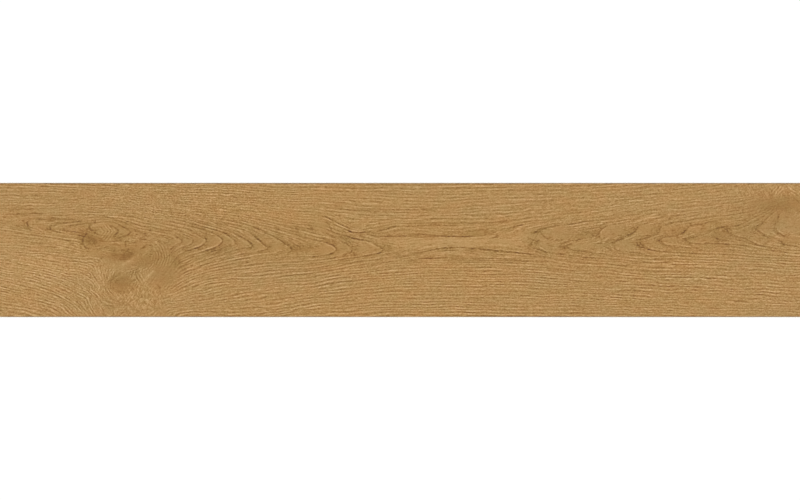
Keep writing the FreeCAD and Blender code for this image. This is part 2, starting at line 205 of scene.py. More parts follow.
# strength, width, points: marks that stand out on their own
STROKES = [
    # far left: long lines and three nested hooks
    (-30, 1.0, [(5, 214.4), (20, 214.2), (32, 213.8), (46, 213.8)]),
    (-20, 0.9, [(8, 209.4), (20, 209.2), (36, 209.5)]),
    (-16, 0.9, [(8, 205.4), (20, 205.6)]),
    (-40, 1.6, [(29.6, 219.6), (27.6, 221.6), (27.2, 223.6), (27.8, 226), (28.8, 228.4)]),
    (-26, 1.1, [(30, 219.4), (40, 219.4), (52, 219.6), (64, 219.4), (78, 219.8)]),
    (-14, 1.0, [(28, 229), (34, 231.4), (40, 233.4)]),
    (-18, 1.1, [(30, 234), (36.6, 235.4)]),
    (-36, 1.7, [(52, 224.8), (50.6, 226.6), (50.2, 228.8), (51.4, 230.2)]),
    (-23, 1.1, [(53, 224.6), (60, 223.8), (70, 222.8), (83, 220.8)]),
    (-15, 1.0, [(51, 230), (58, 231.4), (66, 234), (75, 235.6)]),
    (-36, 1.6, [(68.2, 228.2), (66, 229.6), (63, 230.2)]),
    (-21, 1.0, [(67, 227.5), (75, 225.6), (84, 223.4)]),
    (-15, 1.0, [(62, 231), (72, 232.4), (80, 236)]),
    # first knot
    (-44, 1.7, [(95.6, 221.4), (93.6, 222.4)]),
    (-56, 1.7, [(91.6, 223.4), (90, 224.6), (89.4, 226.6), (89.8, 228.6), (91.6, 230), (94, 231.6), (96, 233.4)]),
    (16, 1.1, [(90.8, 231), (93, 233), (95, 235.4)]),
    (-34, 1.4, [(86.8, 228), (86.6, 231), (86.4, 234), (84.4, 236.6), (83.2, 238.4)]),
    (-38, 1.6, [(83, 238.6), (82.5, 240.2), (82.6, 242.4), (83.6, 244.6)]),
    (-32, 1.3, [(83.2, 244), (84.6, 246.6), (86.6, 248.6), (89, 249)]),
    (-14, 1.1, [(76.6, 230.4), (80, 232.6), (83, 235)]),
    (-14, 1.1, [(75.6, 233), (79, 235), (82, 237.4)]),
    (-16, 1.0, [(76, 236), (79, 237.6), (81, 239)]),
    (14, 1.0, [(75, 240.4), (79, 242.8), (82, 245.6)]),
    (14, 1.0, [(76, 244), (80, 246.6), (84.4, 249.6)]),
    (-14, 1.3, [(91, 238.4), (93.4, 241.4), (92.6, 245)]),
    (-14, 1.2, [(95.4, 239), (96.4, 242), (95, 245.6)]),
    (-18, 1.2, [(88.6, 236), (89.4, 240), (88.6, 244.6)]),
    # right of it
    (-42, 1.3, [(109.6, 225.2), (114.6, 227.6), (117.4, 229.6), (118.8, 231.2)]),
    (-42, 1.3, [(118.8, 231.2), (116.6, 233.4), (111, 237.2)]),
    (18, 1.1, [(109.6, 227.4), (113.2, 229.2), (115.6, 231.2)]),
    (-28, 1.3, [(118, 224.6), (124, 227.2), (128, 229.2), (130.8, 231)]),
    (-44, 1.4, [(130.8, 231), (129, 234.2), (126, 235.8), (120, 237.6), (114, 239)]),
    (-18, 1.1, [(103, 219), (112, 221), (120, 225), (130, 228.5), (140, 232), (147, 235.2)]),
    (-18, 1.0, [(100, 215), (110, 217.6), (120, 221), (128, 223.4)]),
    (-44, 2.2, [(148.8, 230.2), (150.6, 230.4)]),
    (-36, 2.0, [(125.6, 222), (127.6, 222.4)]),
    (-28, 1.6, [(142.6, 233.6), (146.4, 234.6)]),
    # second knot
    (20, 1.2, [(108.6, 243.4), (113, 242.4), (117, 242.6), (120, 244.6)]),
    (-22, 1.2, [(110, 245), (116, 243.8), (119, 245), (121, 247.6)]),
    (-30, 1.3, [(112, 241.2), (118, 240.3), (123.6, 240.4)]),
    (-36, 1.4, [(125.2, 240.4), (125.6, 243.6), (125.6, 247.4)]),
    (-16, 1.1, [(103, 247), (110, 246.6)]),
    (-26, 1.2, [(111.4, 249), (113, 247.9), (114.8, 249), (114.4, 251), (112.4, 251.2)]),
    (-15, 1.5, [(119.6, 254), (122, 251), (124, 248.6)]),
    (-12, 1.5, [(122, 256), (124.6, 253), (126.6, 250.6)]),
    (-16, 3.0, [(126.6, 254.6), (130, 254), (135, 253.2)]),
    (-16, 2.2, [(128.6, 248.6), (127.6, 250.4), (126.4, 252)]),
    (-12, 2.4, [(121, 257.6), (126, 257.4), (131, 256.4)]),
    (-22, 1.3, [(118.6, 259.6), (124, 259.3), (131, 258.5)]),
    (20, 1.4, [(126.4, 262), (131, 260), (134.6, 256.8)]),
    (16, 1.2, [(112.6, 267), (115, 263.6)]),
    (16, 1.2, [(122, 264.6), (126, 262.6)]),
    (18, 1.1, [(130.6, 264.4), (132.4, 266.4), (134, 265)]),
    (-18, 1.1, [(131.6, 263.6), (133.6, 265)]),
    # arcs round the smooth patch
    (-30, 1.3, [(132.6, 244), (136, 241.4), (141, 239.5), (146.6, 239.2)]),
    (-24, 1.2, [(140, 249.4), (144, 247), (147.4, 243.8)]),
    (-24, 1.3, [(157.6, 239.6), (160.8, 244.6)]),
    (15, 1.2, [(155.6, 241), (158.8, 246)]),
    (-12, 1.1, [(145, 264.6), (150, 263), (153, 266.6)]),
    (-10, 1.2, [(176.4, 256.6), (175.2, 260), (175.4, 264), (176.6, 267.6)]),
    (-9, 1.1, [(179.6, 268), (181, 264), (183.6, 260.4)]),
    (-9, 1.1, [(182, 269), (184.6, 265.2), (188.4, 261.4)]),
    (-11, 1.1, [(184.6, 270.4), (187.8, 267.4), (192, 264.4)]),
    (13, 1.1, [(186.8, 269.8), (190, 267.6), (195, 265)]),
    # third knot
    (-19, 1.6, [(109.6, 284), (112, 279.6), (116, 276.2), (121, 273.2)]),
    (-20, 1.4, [(114.6, 282.4), (118, 279.8), (123.6, 277.2)]),
    (15, 1.1, [(112.6, 281.6), (115, 278.6), (119, 276.2), (123, 274.6)]),
    (-11, 1.2, [(112, 287), (116, 290), (121, 291.6)]),
    (22, 1.3, [(142.6, 282.4), (147, 277.4), (154, 270.4)]),
    (-16, 1.1, [(144.6, 283), (149, 278)]),
    (-15, 1.5, [(131, 275.6), (133, 272.8), (138.6, 271)]),
    (-10, 1.2, [(131, 269.6), (135, 268.4)]),
    (14, 1.1, [(146, 281.6), (150, 277)]),
    (-28, 1.8, [(157.8, 286.6), (160.4, 287.4)]),
    # ring tips left of the middle
    (-24, 1.4, [(174, 236), (178, 238), (181.6, 240.6), (181.4, 242), (178, 244), (173, 247.5), (170, 250.4)], 1),
    (-17, 1.2, [(180, 236), (188, 238.4), (192.4, 240.2), (192.4, 242), (189, 245), (182, 247.6), (175, 251.4), (171, 256)], 1),
    (-22, 1.4, [(195, 233.6), (202, 237), (206, 239.6), (204.6, 242.6), (200, 247), (192, 249), (184, 250.6)], 1),
    (-26, 1.5, [(209, 231.4), (213, 233), (218, 236), (222.6, 239.6), (221.2, 243), (217, 246.6), (212.6, 248.6), (205, 250.6)], 1),
    (-28, 1.5, [(222, 232), (228, 235.4), (233, 239), (235, 242), (236.6, 243.6)], 1),
    (-28, 1.2, [(232, 244.4), (225, 247.4), (217, 250.2), (208, 252.6)]),
    (-28, 1.6, [(235.2, 242.2), (236.8, 243.8)]),
    (-20, 1.1, [(246, 247.6), (238, 249), (231, 251), (222, 253.4), (212, 255.6)]),
    (-26, 1.5, [(232, 232.6), (238, 236), (244, 239), (248, 241.5), (251, 244.5), (253.4, 246.8)], 1),
    (-24, 1.4, [(249, 233.6), (255, 237.5), (260, 240.5), (263, 243.4), (266, 247), (263.6, 250), (257, 251)], 1),
    (-16, 1.3, [(274, 236.8), (277, 238.4), (280, 240), (284, 242.4), (288, 245.2), (291.6, 249.4), (286, 251), (274, 252)], 1),
    (-24, 1.6, [(283.4, 243.6), (284.8, 245.4)]),
    (-20, 1.3, [(318, 240.4), (323, 241.4), (328, 243.6), (332.4, 245.4), (335.4, 247.4), (336.6, 250), (334, 252), (331, 253.6), (327.6, 255.2)], 1),
    (-18, 1.4, [(344, 242.6), (348, 245), (350.4, 249), (351.6, 252), (348, 254.6), (342, 257)], 1),
    (-15, 1.2, [(350, 238.6), (356, 239.6), (364, 240.6)]),
    (-30, 1.4, [(366, 241), (371, 242.6), (375, 244.4), (378.6, 246.6)], 1),
    (-26, 1.3, [(374, 243.8), (379, 246), (382, 248.4), (382.8, 250.4), (380.6, 252.6), (376, 254)], 1),
    (-18, 1.2, [(384, 252), (378, 253.6), (370, 255), (362, 257), (350, 258.4), (338, 260.2)]),
    (-18, 1.1, [(200, 221), (208, 224.8), (214, 226.4), (222, 229.4), (230, 232.2)], 1),
    (-16, 1.1, [(168, 221), (180, 223.4), (190, 225), (198, 227), (207, 229.6)], 1),
    (-18, 1.3, [(252.6, 226.6), (257, 228.6), (261, 230.8)]),
    (-36, 1.5, [(274.6, 225.8), (276.4, 227.8), (279.4, 229.8)]),
    (-17, 1.2, [(263.6, 231.6), (267, 234), (270, 235.6)]),
    (-15, 1.2, [(294.6, 226), (297, 228.6), (299, 232)]),
    (-15, 1.1, [(302, 222.4), (306, 223.4), (310, 226)]),
    (-18, 1.6, [(308.6, 225.6), (310.6, 227.6), (312.4, 229.8)]),
    # the long line and the V left of the lens
    (-25, 1.1, [(338, 207), (345, 209.2), (351, 210), (363, 210.2), (372, 211), (385, 211), (395, 210), (405, 210), (420, 209.3), (440, 209)]),
    (-30, 1.3, [(324, 215.4), (330, 219), (335, 221.5), (340, 224), (345, 226.6)], 1),
    (-31, 1.4, [(345, 226.4), (349, 228.4), (349, 230.2), (351.4, 232), (354, 233.5), (358, 233.7), (362, 232.5), (366, 231.5), (372, 231.3), (378, 231),
                (383, 230), (388, 228.2), (392, 226.6), (397, 226.3)]),
    (-24, 1.4, [(325, 221), (329, 224.6), (330.6, 228), (332, 231), (334.6, 233.6)]),
    (-16, 1.3, [(330.6, 228.4), (332.2, 231.2), (334.4, 233.6)]),
    (-20, 1.3, [(324, 229.6), (327, 232.4), (331, 234.4), (338, 236), (344, 238), (351, 240.8)]),
    (-14, 1.1, [(334, 233.6), (342, 236.4), (350, 238.4)]),
    (-14, 1.1, [(320, 236.6), (330, 239.6), (338, 241), (345, 243.4), (350, 246)]),
    # the light lens
    (-15, 1.3, [(381, 236.6), (388, 236.4), (394, 236.6)]),
    (-10, 4.0, [(404, 235), (430, 235.2), (470, 235.6)]),
    (-27, 1.2, [(378, 237), (385, 236.7), (392, 236.7), (400, 236.3), (410, 236.6), (420, 236.8), (432, 236.6), (447, 236.6), (452, 236), (460, 236.8), (470, 237.2)]),
    (-24, 1.1, [(396, 226.4), (410, 226), (420, 225.6), (430, 225.5), (437, 224.5), (443, 225), (448, 225.2), (455, 224.4), (465, 223.2), (480, 223.8), (492, 223), (505, 222)]),
    (-24, 1.3, [(392, 255), (397, 254.5), (404, 254), (416, 252.6), (424, 252), (428, 250), (436, 249), (445, 248), (449, 246.8), (453, 247.4), (460, 247),
                (466, 247), (470, 248.4), (475, 248), (481, 248), (487, 249), (495, 250.4), (501, 250.2), (506, 251.5), (514, 252.2), (524, 253.4), (538, 255.4)]),
    (-14, 1.1, [(440, 250.2), (460, 250.4), (478, 250.8)]),
    (-14, 1.1, [(488, 251.6), (498, 252.6), (505, 253)]),
    (-20, 1.1, [(412, 257.6), (430, 257.6), (440, 257), (450, 256.8), (465, 257.7)]),
    (-20, 1.1, [(472, 258.2), (485, 258.8), (500, 259), (530, 260)]),
    (-9, 0.9, [(470, 243), (485, 242.8), (500, 243.1)]),
    (-16, 1.1, [(448, 232.5), (455, 232), (463, 232.3)]),
    (-18, 1.2, [(467, 229.4), (470, 232), (475, 230.6), (480, 229.9), (487, 230), (492, 231)]),
    (-22, 1.3, [(490, 239), (494, 237.2), (498, 235.4), (497.4, 238)]),
    (-16, 1.2, [(494, 233.2), (497.5, 231.8)]),
    (-16, 1.1, [(498, 231.2), (508, 229), (513, 227.6), (518, 226), (526, 224)]),
    # right half: hooks pointing left
    (-38, 1.9, [(534.6, 232.4), (537, 231.8), (539.6, 230.4)]),
    (-26, 1.5, [(540, 229.4), (546, 228.4), (549.4, 227.2), (553.4, 227)], 1),
    (-15, 1.2, [(553, 226.8), (558, 225.2), (566, 224.8), (575, 223.4), (585, 222), (595, 221.4)]),
    (12, 1.1, [(558, 223), (566, 222.2), (574, 221.6)]),
    (-30, 1.2, [(540, 231.6), (542, 234.4)]),
    (-32, 1.3, [(542, 234.8), (545.4, 237.4), (548.4, 239)]),
    (-15, 1.2, [(531, 233), (534.6, 233.6)]),
    (-15, 1.1, [(526.6, 238.4), (530, 238.8), (534, 240.4)]),
    (-34, 1.4, [(538.4, 240.2), (536.4, 243.4), (536.8, 246)]),
    (-15, 1.0, [(530, 244), (536, 244.4)]),
    (-15, 1.1, [(527.6, 246.4), (531.4, 247.2)]),
    (-30, 1.4, [(537.2, 246.8), (540.4, 249.4), (543.4, 250.8), (547.4, 253.2)], -1),
    (-22, 1.2, [(547, 253), (560, 254), (570, 255.2), (580, 256.6), (596, 258.2)]),
    (-13, 1.0, [(569, 232.6), (573.4, 233), (572.4, 236), (570, 238.6), (568, 241.4)]),
    (-36, 1.4, [(566.6, 245.6), (569, 244.4), (572, 243)]),
    (-35, 1.4, [(575.6, 242), (577.4, 240.8), (579.4, 239.8)]),
    (-16, 1.1, [(573, 242.6), (576, 241.4)]),
    (-24, 1.4, [(560, 247), (565, 245.6)]),
    (-30, 1.4, [(565, 245.6), (567.6, 247.4), (570, 249), (576, 250.6)], -1),
    (-22, 1.2, [(576, 250.6), (585, 251), (592, 251.4)]),
    (-20, 1.2, [(590, 239), (593, 237), (598, 236.4), (600, 234)]),
    (-26, 1.2, [(600, 234.4), (599.6, 232), (601, 230), (604, 227.6), (607.6, 225)], 1),
    (-16, 1.2, [(583, 231), (590, 233), (595, 233.6), (599, 233.4)]),
    (-17, 1.3, [(590, 228.4), (597, 227.6), (601, 227)]),
    (-15, 1.2, [(592, 235.4), (597, 237)]),
    (-15, 1.0, [(596, 243.4), (604, 243)]),
    (-22, 1.5, [(608, 242.6), (612, 243.4)]),
    (-28, 1.4, [(612.4, 243), (614.4, 241.8), (617, 240.6), (621, 239), (624, 237.2)]),
    (-25, 1.3, [(627, 235.4), (630, 234.6), (632.4, 233.8)]),
    (-22, 1.3, [(633, 233), (635, 231.4), (636.6, 229.4), (638, 226.8)]),
    (-14, 1.1, [(639, 225.6), (643, 224.2), (652, 222)]),
    (-24, 1.5, [(613, 245.4), (614.6, 248), (616.6, 250.4), (621, 251.6)], -1),
    (-16, 1.0, [(621, 251.6), (632, 252.6), (645, 253.6)]),
    (-29, 1.3, [(637.4, 242.6), (640, 240.8), (643.6, 239.2)]),
    (-24, 1.4, [(644, 239), (647, 238.2), (650.4, 236)]),
    (-18, 1.5, [(655.6, 234.2), (660, 232.4)]),
    (-19, 1.5, [(658.8, 229.6), (662, 226.2)]),
    (-15, 1.2, [(660, 226), (666, 224.8)]),
    (-14, 1.0, [(666, 224.8), (676, 223), (690, 221)]),
    (-36, 1.4, [(639.8, 242), (642.4, 245.4), (645.6, 248.4)]),
    (-14, 1.1, [(646, 248.6), (652, 249.8), (660, 250.6), (672, 251.4)]),
    (-29, 1.2, [(636.4, 244.4), (641, 247.4)]),
    (-16, 1.0, [(672, 251.4), (690, 252.6), (710, 253.4)]),
    (-29, 1.4, [(656, 241), (661.4, 241)]),
    (-22, 1.2, [(661, 241), (663.6, 243.4), (667, 245), (672, 245.6), (680, 246.6), (690, 247.4), (699, 247.6)], -1),
    (-16, 1.1, [(661, 239), (664, 237.4), (668, 236.4), (673, 235.4)]),
    (-42, 1.3, [(681.4, 234.6), (685, 231), (688, 228), (690, 226.2)]),
    (-27, 1.2, [(690, 226), (695, 225), (702, 224.4), (706.6, 222.6)]),
    (15, 1.1, [(684, 235), (687, 231.6), (690, 228.6), (696, 226.8), (703, 225.8)]),
    (-18, 1.4, [(683, 229), (684.6, 227.6)]),
    (-15, 1.3, [(672, 231), (676, 229.6)]),
    (-16, 1.3, [(678, 233), (682, 231)]),
    (-30, 1.6, [(684, 240), (688, 239.6), (692, 238)]),
    (-17, 1.2, [(692, 238), (697.6, 236.2)]),
    (-24, 1.3, [(688, 243.6), (693, 242.6), (697, 243.6), (703, 243.3), (716, 243.4), (730, 244.4), (740, 245), (749, 245.2)], -1),
    (-16, 1.0, [(700, 224), (704, 223.6), (707, 222.4), (712, 222.2), (722, 222)]),
    (-24, 1.6, [(716, 228.4), (722, 227.6), (728, 228.8)]),
    (-19, 1.1, [(728, 228.8), (731, 227.6), (735, 226.4), (741, 225), (747, 223.6), (751, 222.4)]),
    (-26, 1.8, [(725, 228.6), (729.4, 228)]),
    (-32, 1.5, [(726, 230.6), (729, 232), (731, 233.4), (732.6, 234.6)]),
    (-20, 1.1, [(733.4, 235), (740, 237), (744, 238), (750, 238.4)]),
    (-26, 1.6, [(714, 232.2), (716, 232.6)]),
    (-27, 1.4, [(713.6, 235.6), (716.4, 238.2), (719, 239.6), (722, 240.8), (725, 240.6)]),
    (-16, 1.2, [(716, 242.4), (720, 242)]),
    (-26, 1.6, [(749.6, 239.6), (752, 242.4), (755, 243.8), (760, 245.4), (765, 246.6)], -1),
    (-15, 1.1, [(766, 248.4), (775, 250), (786, 251)]),
    (-17, 1.3, [(750, 228), (754, 228.4)]),
    (-37, 1.4, [(755, 229.8), (758, 227.2), (761, 224.6), (764, 222.4)]),
    (-24, 1.4, [(757, 230), (761, 233), (765, 235.6), (768.4, 237)], -1),
    (-15, 1.1, [(768.4, 237), (774, 238), (780, 241.4)]),
    (-25, 1.7, [(779.6, 241.4), (781.6, 242.6), (784, 244.6)]),
    (-15, 1.1, [(784, 244.6), (789, 245.6), (799, 247)]),
    (15, 1.1, [(759, 229.6), (764, 232), (772, 234.4), (780, 237.6), (786, 238.6)]),
    (20, 1.2, [(754.4, 227.4), (757.6, 225), (761.4, 221.6)]),
    (14, 1.0, [(753, 230.6), (755.4, 231.6)]),
    (-28, 1.4, [(778.6, 215.6), (778, 220), (777, 224), (776, 226.6)]),
    (-26, 1.8, [(775.6, 224.8), (777, 225.4)]),
    (-24, 1.8, [(776.6, 231.2), (778, 232)]),
    (-25, 1.5, [(776.4, 227.8), (777, 231), (780, 233.4), (784, 236), (788, 237.2)], -1),
    (-16, 1.0, [(753, 252.8), (765, 254), (782, 256)]),
    # small marks below
    (-14, 1.0, [(539, 282), (544, 285.4), (550, 290)]),
    (-12, 1.0, [(547, 281.4), (553, 286)]),
    (14, 1.2, [(662.6, 286.4), (663.4, 283)]),
    (-14, 1.2, [(665, 286.4), (665.4, 283)]),
    # corner knot
    (14, 1.3, [(775.6, 196), (779, 191), (782.4, 186)]),
    (12, 1.2, [(772, 188), (777, 192)]),
    (13, 1.2, [(779, 186), (783, 190)]),
    (-12, 1.1, [(777, 196.6), (780.4, 192)]),
    (13, 1.2, [(789, 187), (794, 191), (799.6, 195.6)]),
    (12, 1.2, [(792, 185), (797, 189.4)]),
    (-16, 1.3, [(791, 196), (795.6, 199), (799.6, 203)]),
    (-12, 1.2, [(793, 188), (796, 185)]),
    (-12, 1.4, [(768.6, 209.4), (771, 208.4)]),
    (-9, 1.1, [(790, 206), (790.6, 211)]),
]

# small sets of parallel lines in the knots: ellipse they fill, strength, shape, its numbers
FANS = [
    ((107.4, 231.8, 7, 8, 0), 15, "chevron", 231.6, 0.8, 3.3),
    ((162, 256, 9, 11, 0), 12, "round", 146, 256, 2.7),
    ((140, 278, 4.5, 5, 0), 18, "straight", 59, 2.9),
    ((150, 279, 6, 5, 0), 8, "straight", -48, 2.9),
    ((778, 190, 7, 5, 0), 12, "straight", -53, 3.0),
    ((795, 190, 7, 6, 0), 12, "straight", 38, 2.8),
    ((763, 213, 9, 8, 0), 5, "straight", -52, 3.2),
]

# porous patches, dark with flecks: x, y, half length, half width, turn
POROUS = [
    (23, 225, 5, 5, 0), (46, 228, 4, 3, 0), (61, 231, 3.5, 2.5, 0),
    (178.6, 261.6, 3.5, 4.5, 20), (268, 247, 4, 4, 0), (300, 247.5, 15, 4, 0), (311, 227, 5, 4, 0), (297, 230, 5, 4, 0),
    (354, 250, 4.5, 6, 0), (386, 248.5, 6.5, 6, 0), (347, 242.4, 4, 4, 0), (351, 237, 3, 3, 0), (447, 247.5, 5, 2.5, 0), (485, 249.6, 18, 2, 5),
    (534, 241, 8, 10, 0), (538, 231.5, 5, 2.5, 0), (541, 250, 6, 4, 30), (565, 245.5, 5, 3, 0), (590, 232, 9, 5, 0), (597, 235, 5, 2, 0),
    (610, 243, 4, 3, 0), (630, 234, 5, 2, 0), (635, 229, 4, 3, -30), (656, 231, 6, 5, -20), (641, 245, 4, 3, 30), (678, 231, 8, 4, -10),
    (690, 239, 7, 2, 0), (728, 230, 5, 2.5, 0), (755, 228, 4, 3, 0), (783, 243, 4, 2.5, 20),
]

# smooth patches: x, y, half length, half width, turn
SMOOTH = [
    # knots
    (91, 239, 7, 9, 0), (102, 241, 7, 5, 0), (114, 257, 8, 6, 0), (140, 248, 9, 6, -10), (144, 261, 10, 7, 0), (121, 283, 12, 9, -10), (161, 275, 17, 12, -15), (126, 257, 10, 5, 0), (118, 231, 15, 8, 0), (117, 246, 11, 5, 0), (120, 265, 14, 5, 0), (110, 262, 9, 6, 0), (741, 231, 9, 4, 0), (758, 218, 12, 5, -25),
    (95, 253, 9, 3, 0),
    # between the ring tips
    (187, 241, 6, 4, 0), (199, 241, 5, 5, 0), (213, 241, 8, 6, 0), (228, 240, 5, 4, 0), (244, 243, 5, 3, 20), (259, 246, 5, 4, 0), (277, 246, 8, 4, 0),
    (326, 249, 9, 6, 0), (344, 249, 6, 4, 0), (369, 248, 11, 4, 0), (322, 226, 6, 5, 0), (481, 234, 11, 4, 0),
    (548, 234, 8, 5, 0), (560, 232, 12, 6, 0), (546, 245, 7, 4, 0), (580, 245, 9, 4, 0), (612, 231, 11, 6, 0), (626, 245, 9, 5, 0), (646, 229, 7, 5, 0),
    (668, 241, 7, 3, 0), (702, 230, 10, 4, 0), (704, 240, 10, 2.5, 0), (766, 228, 7, 5, 20), (791, 223, 9, 10, 0), (790, 240, 9, 4, 0),
    # corner
    (782, 204, 26, 11, 0), (762, 208, 14, 12, 0),
]


def smoothstep(a, b, x):
    t = np.clip((x - a) / (b - a), 0, 1)
    return t * t * (3 - 2 * t)


def resample(points, step):
    """Points along a Catmull-Rom curve through the given ones, with unit tangents."""
    p = np.asarray(points, float)
    q = np.vstack([2 * p[0] - p[1], p, 2 * p[-1] - p[-2]])
    out = []
    for i in range(1, len(q) - 2):
        n = max(2, int(np.ceil(np.hypot(*(q[i + 1] - q[i])) / step)))
        t = np.arange(n)[:, None] / n
        a, b, c, d = q[i - 1], q[i], q[i + 1], q[i + 2]
        out.append(0.5 * (2 * b + (c - a) * t + (2 * a - 5 * b + 4 * c - d) * t**2 + (3 * b - a - 3 * c + d) * t**3))
    out.append(p[-1:])
    pts = np.vstack(out)
    tan = np.gradient(pts, axis=0)
    tan /= np.maximum(np.hypot(tan[:, 0], tan[:, 1]), 1e-9)[:, None]
    return pts, tan


class Spline2D:
    """A uniform cubic B-spline surface, fitted to soft conditions by least squares."""

    def __init__(self, x0, x1, hx, y0, y1, hy):
        self.x0, self.hx, self.y0, self.hy = x0, hx, y0, hy
        self.nx = int(np.ceil((x1 - x0) / hx)) + 3
        self.ny = int(np.ceil((y1 - y0) / hy)) + 3
        n = self.nx * self.ny
        self.ata = np.zeros((n, n))
        self.atb = np.zeros(n)

    @staticmethod
    def weights(u):
        i = np.floor(u).astype(int)
        t = u - i
        w = np.stack([(1 - t) ** 3, 3 * t**3 - 6 * t**2 + 4, -3 * t**3 + 3 * t**2 + 3 * t + 1, t**3], -1) / 6
        d = np.stack([-((1 - t) ** 2), 3 * t**2 - 4 * t, -3 * t**2 + 2 * t + 1, t**2], -1) / 2
        return i, w, d

    def rows(self, x, y):
        ix, wx, dx = self.weights(np.clip((np.asarray(x, float) - self.x0) / self.hx, 0, self.nx - 3.001))
        iy, wy, dy = self.weights(np.clip((np.asarray(y, float) - self.y0) / self.hy, 0, self.ny - 3.001))
        idx = ((ix[:, None] + np.arange(4))[:, :, None] * self.ny + (iy[:, None] + np.arange(4))[:, None, :]).reshape(len(ix), 16)
        val = (wx[:, :, None] * wy[:, None, :]).reshape(-1, 16)
        gx = (dx[:, :, None] * wy[:, None, :]).reshape(-1, 16) / self.hx
        gy = (wx[:, :, None] * dy[:, None, :]).reshape(-1, 16) / self.hy
        return idx, val, gx, gy

    def add(self, idx, coef, rhs, weight):
        n = self.nx * self.ny
        w = np.broadcast_to(np.asarray(weight, float), (len(idx),))
        pair = (idx[:, :, None] * n + idx[:, None, :]).ravel()
        prod = (coef[:, :, None] * coef[:, None, :] * (w**2)[:, None, None]).ravel()
        self.ata += np.bincount(pair, prod, minlength=n * n).reshape(n, n)
        right = coef * (np.broadcast_to(rhs, (len(idx),)) * w**2)[:, None]
        self.atb += np.bincount(idx.ravel(), right.ravel(), minlength=n)

    def smooth(self, wx, wy, wxy):
        def d2(n):
            d = np.zeros((n - 2, n))
            for i in range(n - 2):
                d[i, i : i + 3] = (1, -2, 1)
            return d.T @ d

        def d1(n):
            d = np.diff(np.eye(n), axis=0)
            return d.T @ d

        self.ata += wx**2 * np.kron(d2(self.nx), np.eye(self.ny))
        self.ata += wy**2 * np.kron(np.eye(self.nx), d2(self.ny))
        self.ata += wxy**2 * np.kron(d1(self.nx), d1(self.ny))

    def solve(self):
        n = self.nx * self.ny
        self.c = np.linalg.solve(self.ata + 1e-9 * np.eye(n), self.atb).reshape(self.nx, self.ny)

    def grid(self, xs, ys):
        """value, d/dx, d/dy on the grid xs x ys, as [x, y] arrays."""

        def mat(v, v0, h, n):
            i, w, d = self.weights(np.clip((v - v0) / h, 0, n - 3.001))
            m, g = np.zeros((len(v), n)), np.zeros((len(v), n))
            for k in range(4):
                m[np.arange(len(v)), i + k] = w[:, k]
                g[np.arange(len(v)), i + k] = d[:, k] / h
            return m, g

        mx, gx = mat(xs, self.x0, self.hx, self.nx)
        my, gy = mat(ys, self.y0, self.hy, self.ny)
        return mx @ self.c @ my.T, gx @ self.c @ my.T, mx @ self.c @ gy.T


RING_GAP = 4.6  # usual distance between rings away from the pith


def ring_field():
    """The smooth field whose contours are the year rings and the grain."""
    s = Spline2D(-24, 824, 8, 176, 324, 4.5)
    spine = np.asarray(SPINE, float)
    for value, pts in RINGS:
        p, t = resample(pts, 3.0)
        idx, val, gx, gy = s.rows(p[:, 0], p[:, 1])
        s.add(idx, val, value, 2.0)
        s.add(idx, (gx * t[:, :1] + gy * t[:, 1:]) * RING_GAP, 0.0, 2.0)
    for pts in FLOWS:
        p, t = resample(pts, 4.0)
        idx, val, gx, gy = s.rows(p[:, 0], p[:, 1])
        near = 1 + 2 * ellipse(p[:, 0], p[:, 1], 195, 288, 45, 26)
        s.add(idx, (gx * t[:, :1] + gy * t[:, 1:]) * RING_GAP * near[:, None], 0.0, 3.0)
        off = p[:, 1] - np.interp(p[:, 0], spine[:, 0], spine[:, 1])
        level = (np.abs(t[:, 1]) < 0.5) & (off > 14) & (p[:, 0] > 235)
        idx, val, gx, gy = s.rows(p[level, 0], p[level, 1])
        s.add(idx, gy * RING_GAP, -np.sign(off[level]), 0.7)
    X, Y = np.meshgrid(np.arange(-20, 821, 10.0), np.arange(180, 321, 4.0), indexing="ij")
    X, Y = X.ravel(), Y.ravel()
    off = Y - np.interp(X, spine[:, 0], spine[:, 1])
    keep = np.abs(off) > 16
    idx, val, gx, gy = s.rows(X[keep], Y[keep])
    pressed = 1 + 2.0 * ellipse(X, Y, 175, 297, 40, 16) + 1.5 * ellipse(X, Y, 130, 208, 60, 9)
    s.add(idx, gy * RING_GAP, (-np.sign(off) * pressed)[keep], 0.25)
    s.smooth(0.25, 0.12, 0.25)
    s.solve()
    return s


# ---------------------------------------------------------------- noise
# The same gradient noise as Blender's Noise Texture (signed, no detail), so
# that the relief and the shader see the same lines.
def _turn(x, k):
    return (x << np.uint32(k)) | (x >> np.uint32(32 - k))


def _hash(i, j, k):
    a = np.full(i.shape, 0xDEADBEEF + (3 << 2) + 13, np.uint32)
    a, b, c = a + i, a + j, a + k
    c = (c ^ b) - _turn(b, 14)
    a = (a ^ c) - _turn(c, 11)
    b = (b ^ a) - _turn(a, 25)
    c = (c ^ b) - _turn(b, 16)
    a = (a ^ c) - _turn(c, 4)
    b = (b ^ a) - _turn(a, 14)
    return (c ^ b) - _turn(b, 24)


def perlin(u, v, w):
    u, v, w = (np.asarray(a, float) for a in np.broadcast_arrays(u, v, w))
    cell, part, fade = [], [], []
    for a in (u, v, w):
        i = np.floor(a)
        t = a - i
        cell.append(i.astype(np.int64).astype(np.uint32))
        part.append(t)
        fade.append(t * t * t * (t * (t * 6 - 15) + 10))
    out = 0.0
    with np.errstate(over="ignore"):
        for corner in range(8):
            d = (corner & 1, corner >> 1 & 1, corner >> 2)
            h = _hash(*(c + np.uint32(s) for c, s in zip(cell, d))) & np.uint32(15)
            x, y, z = (p - s for p, s in zip(part, d))
            p = np.where(h < 8, x, y)
            q = np.where(h < 4, y, np.where((h == 12) | (h == 14), x, z))
            g = np.where(h & 1, -p, p) + np.where(h & 2, -q, q)
            for f, s in zip(fade, d):
                g = g * (f if s else 1 - f)
            out = out + g
    return 0.982 * out


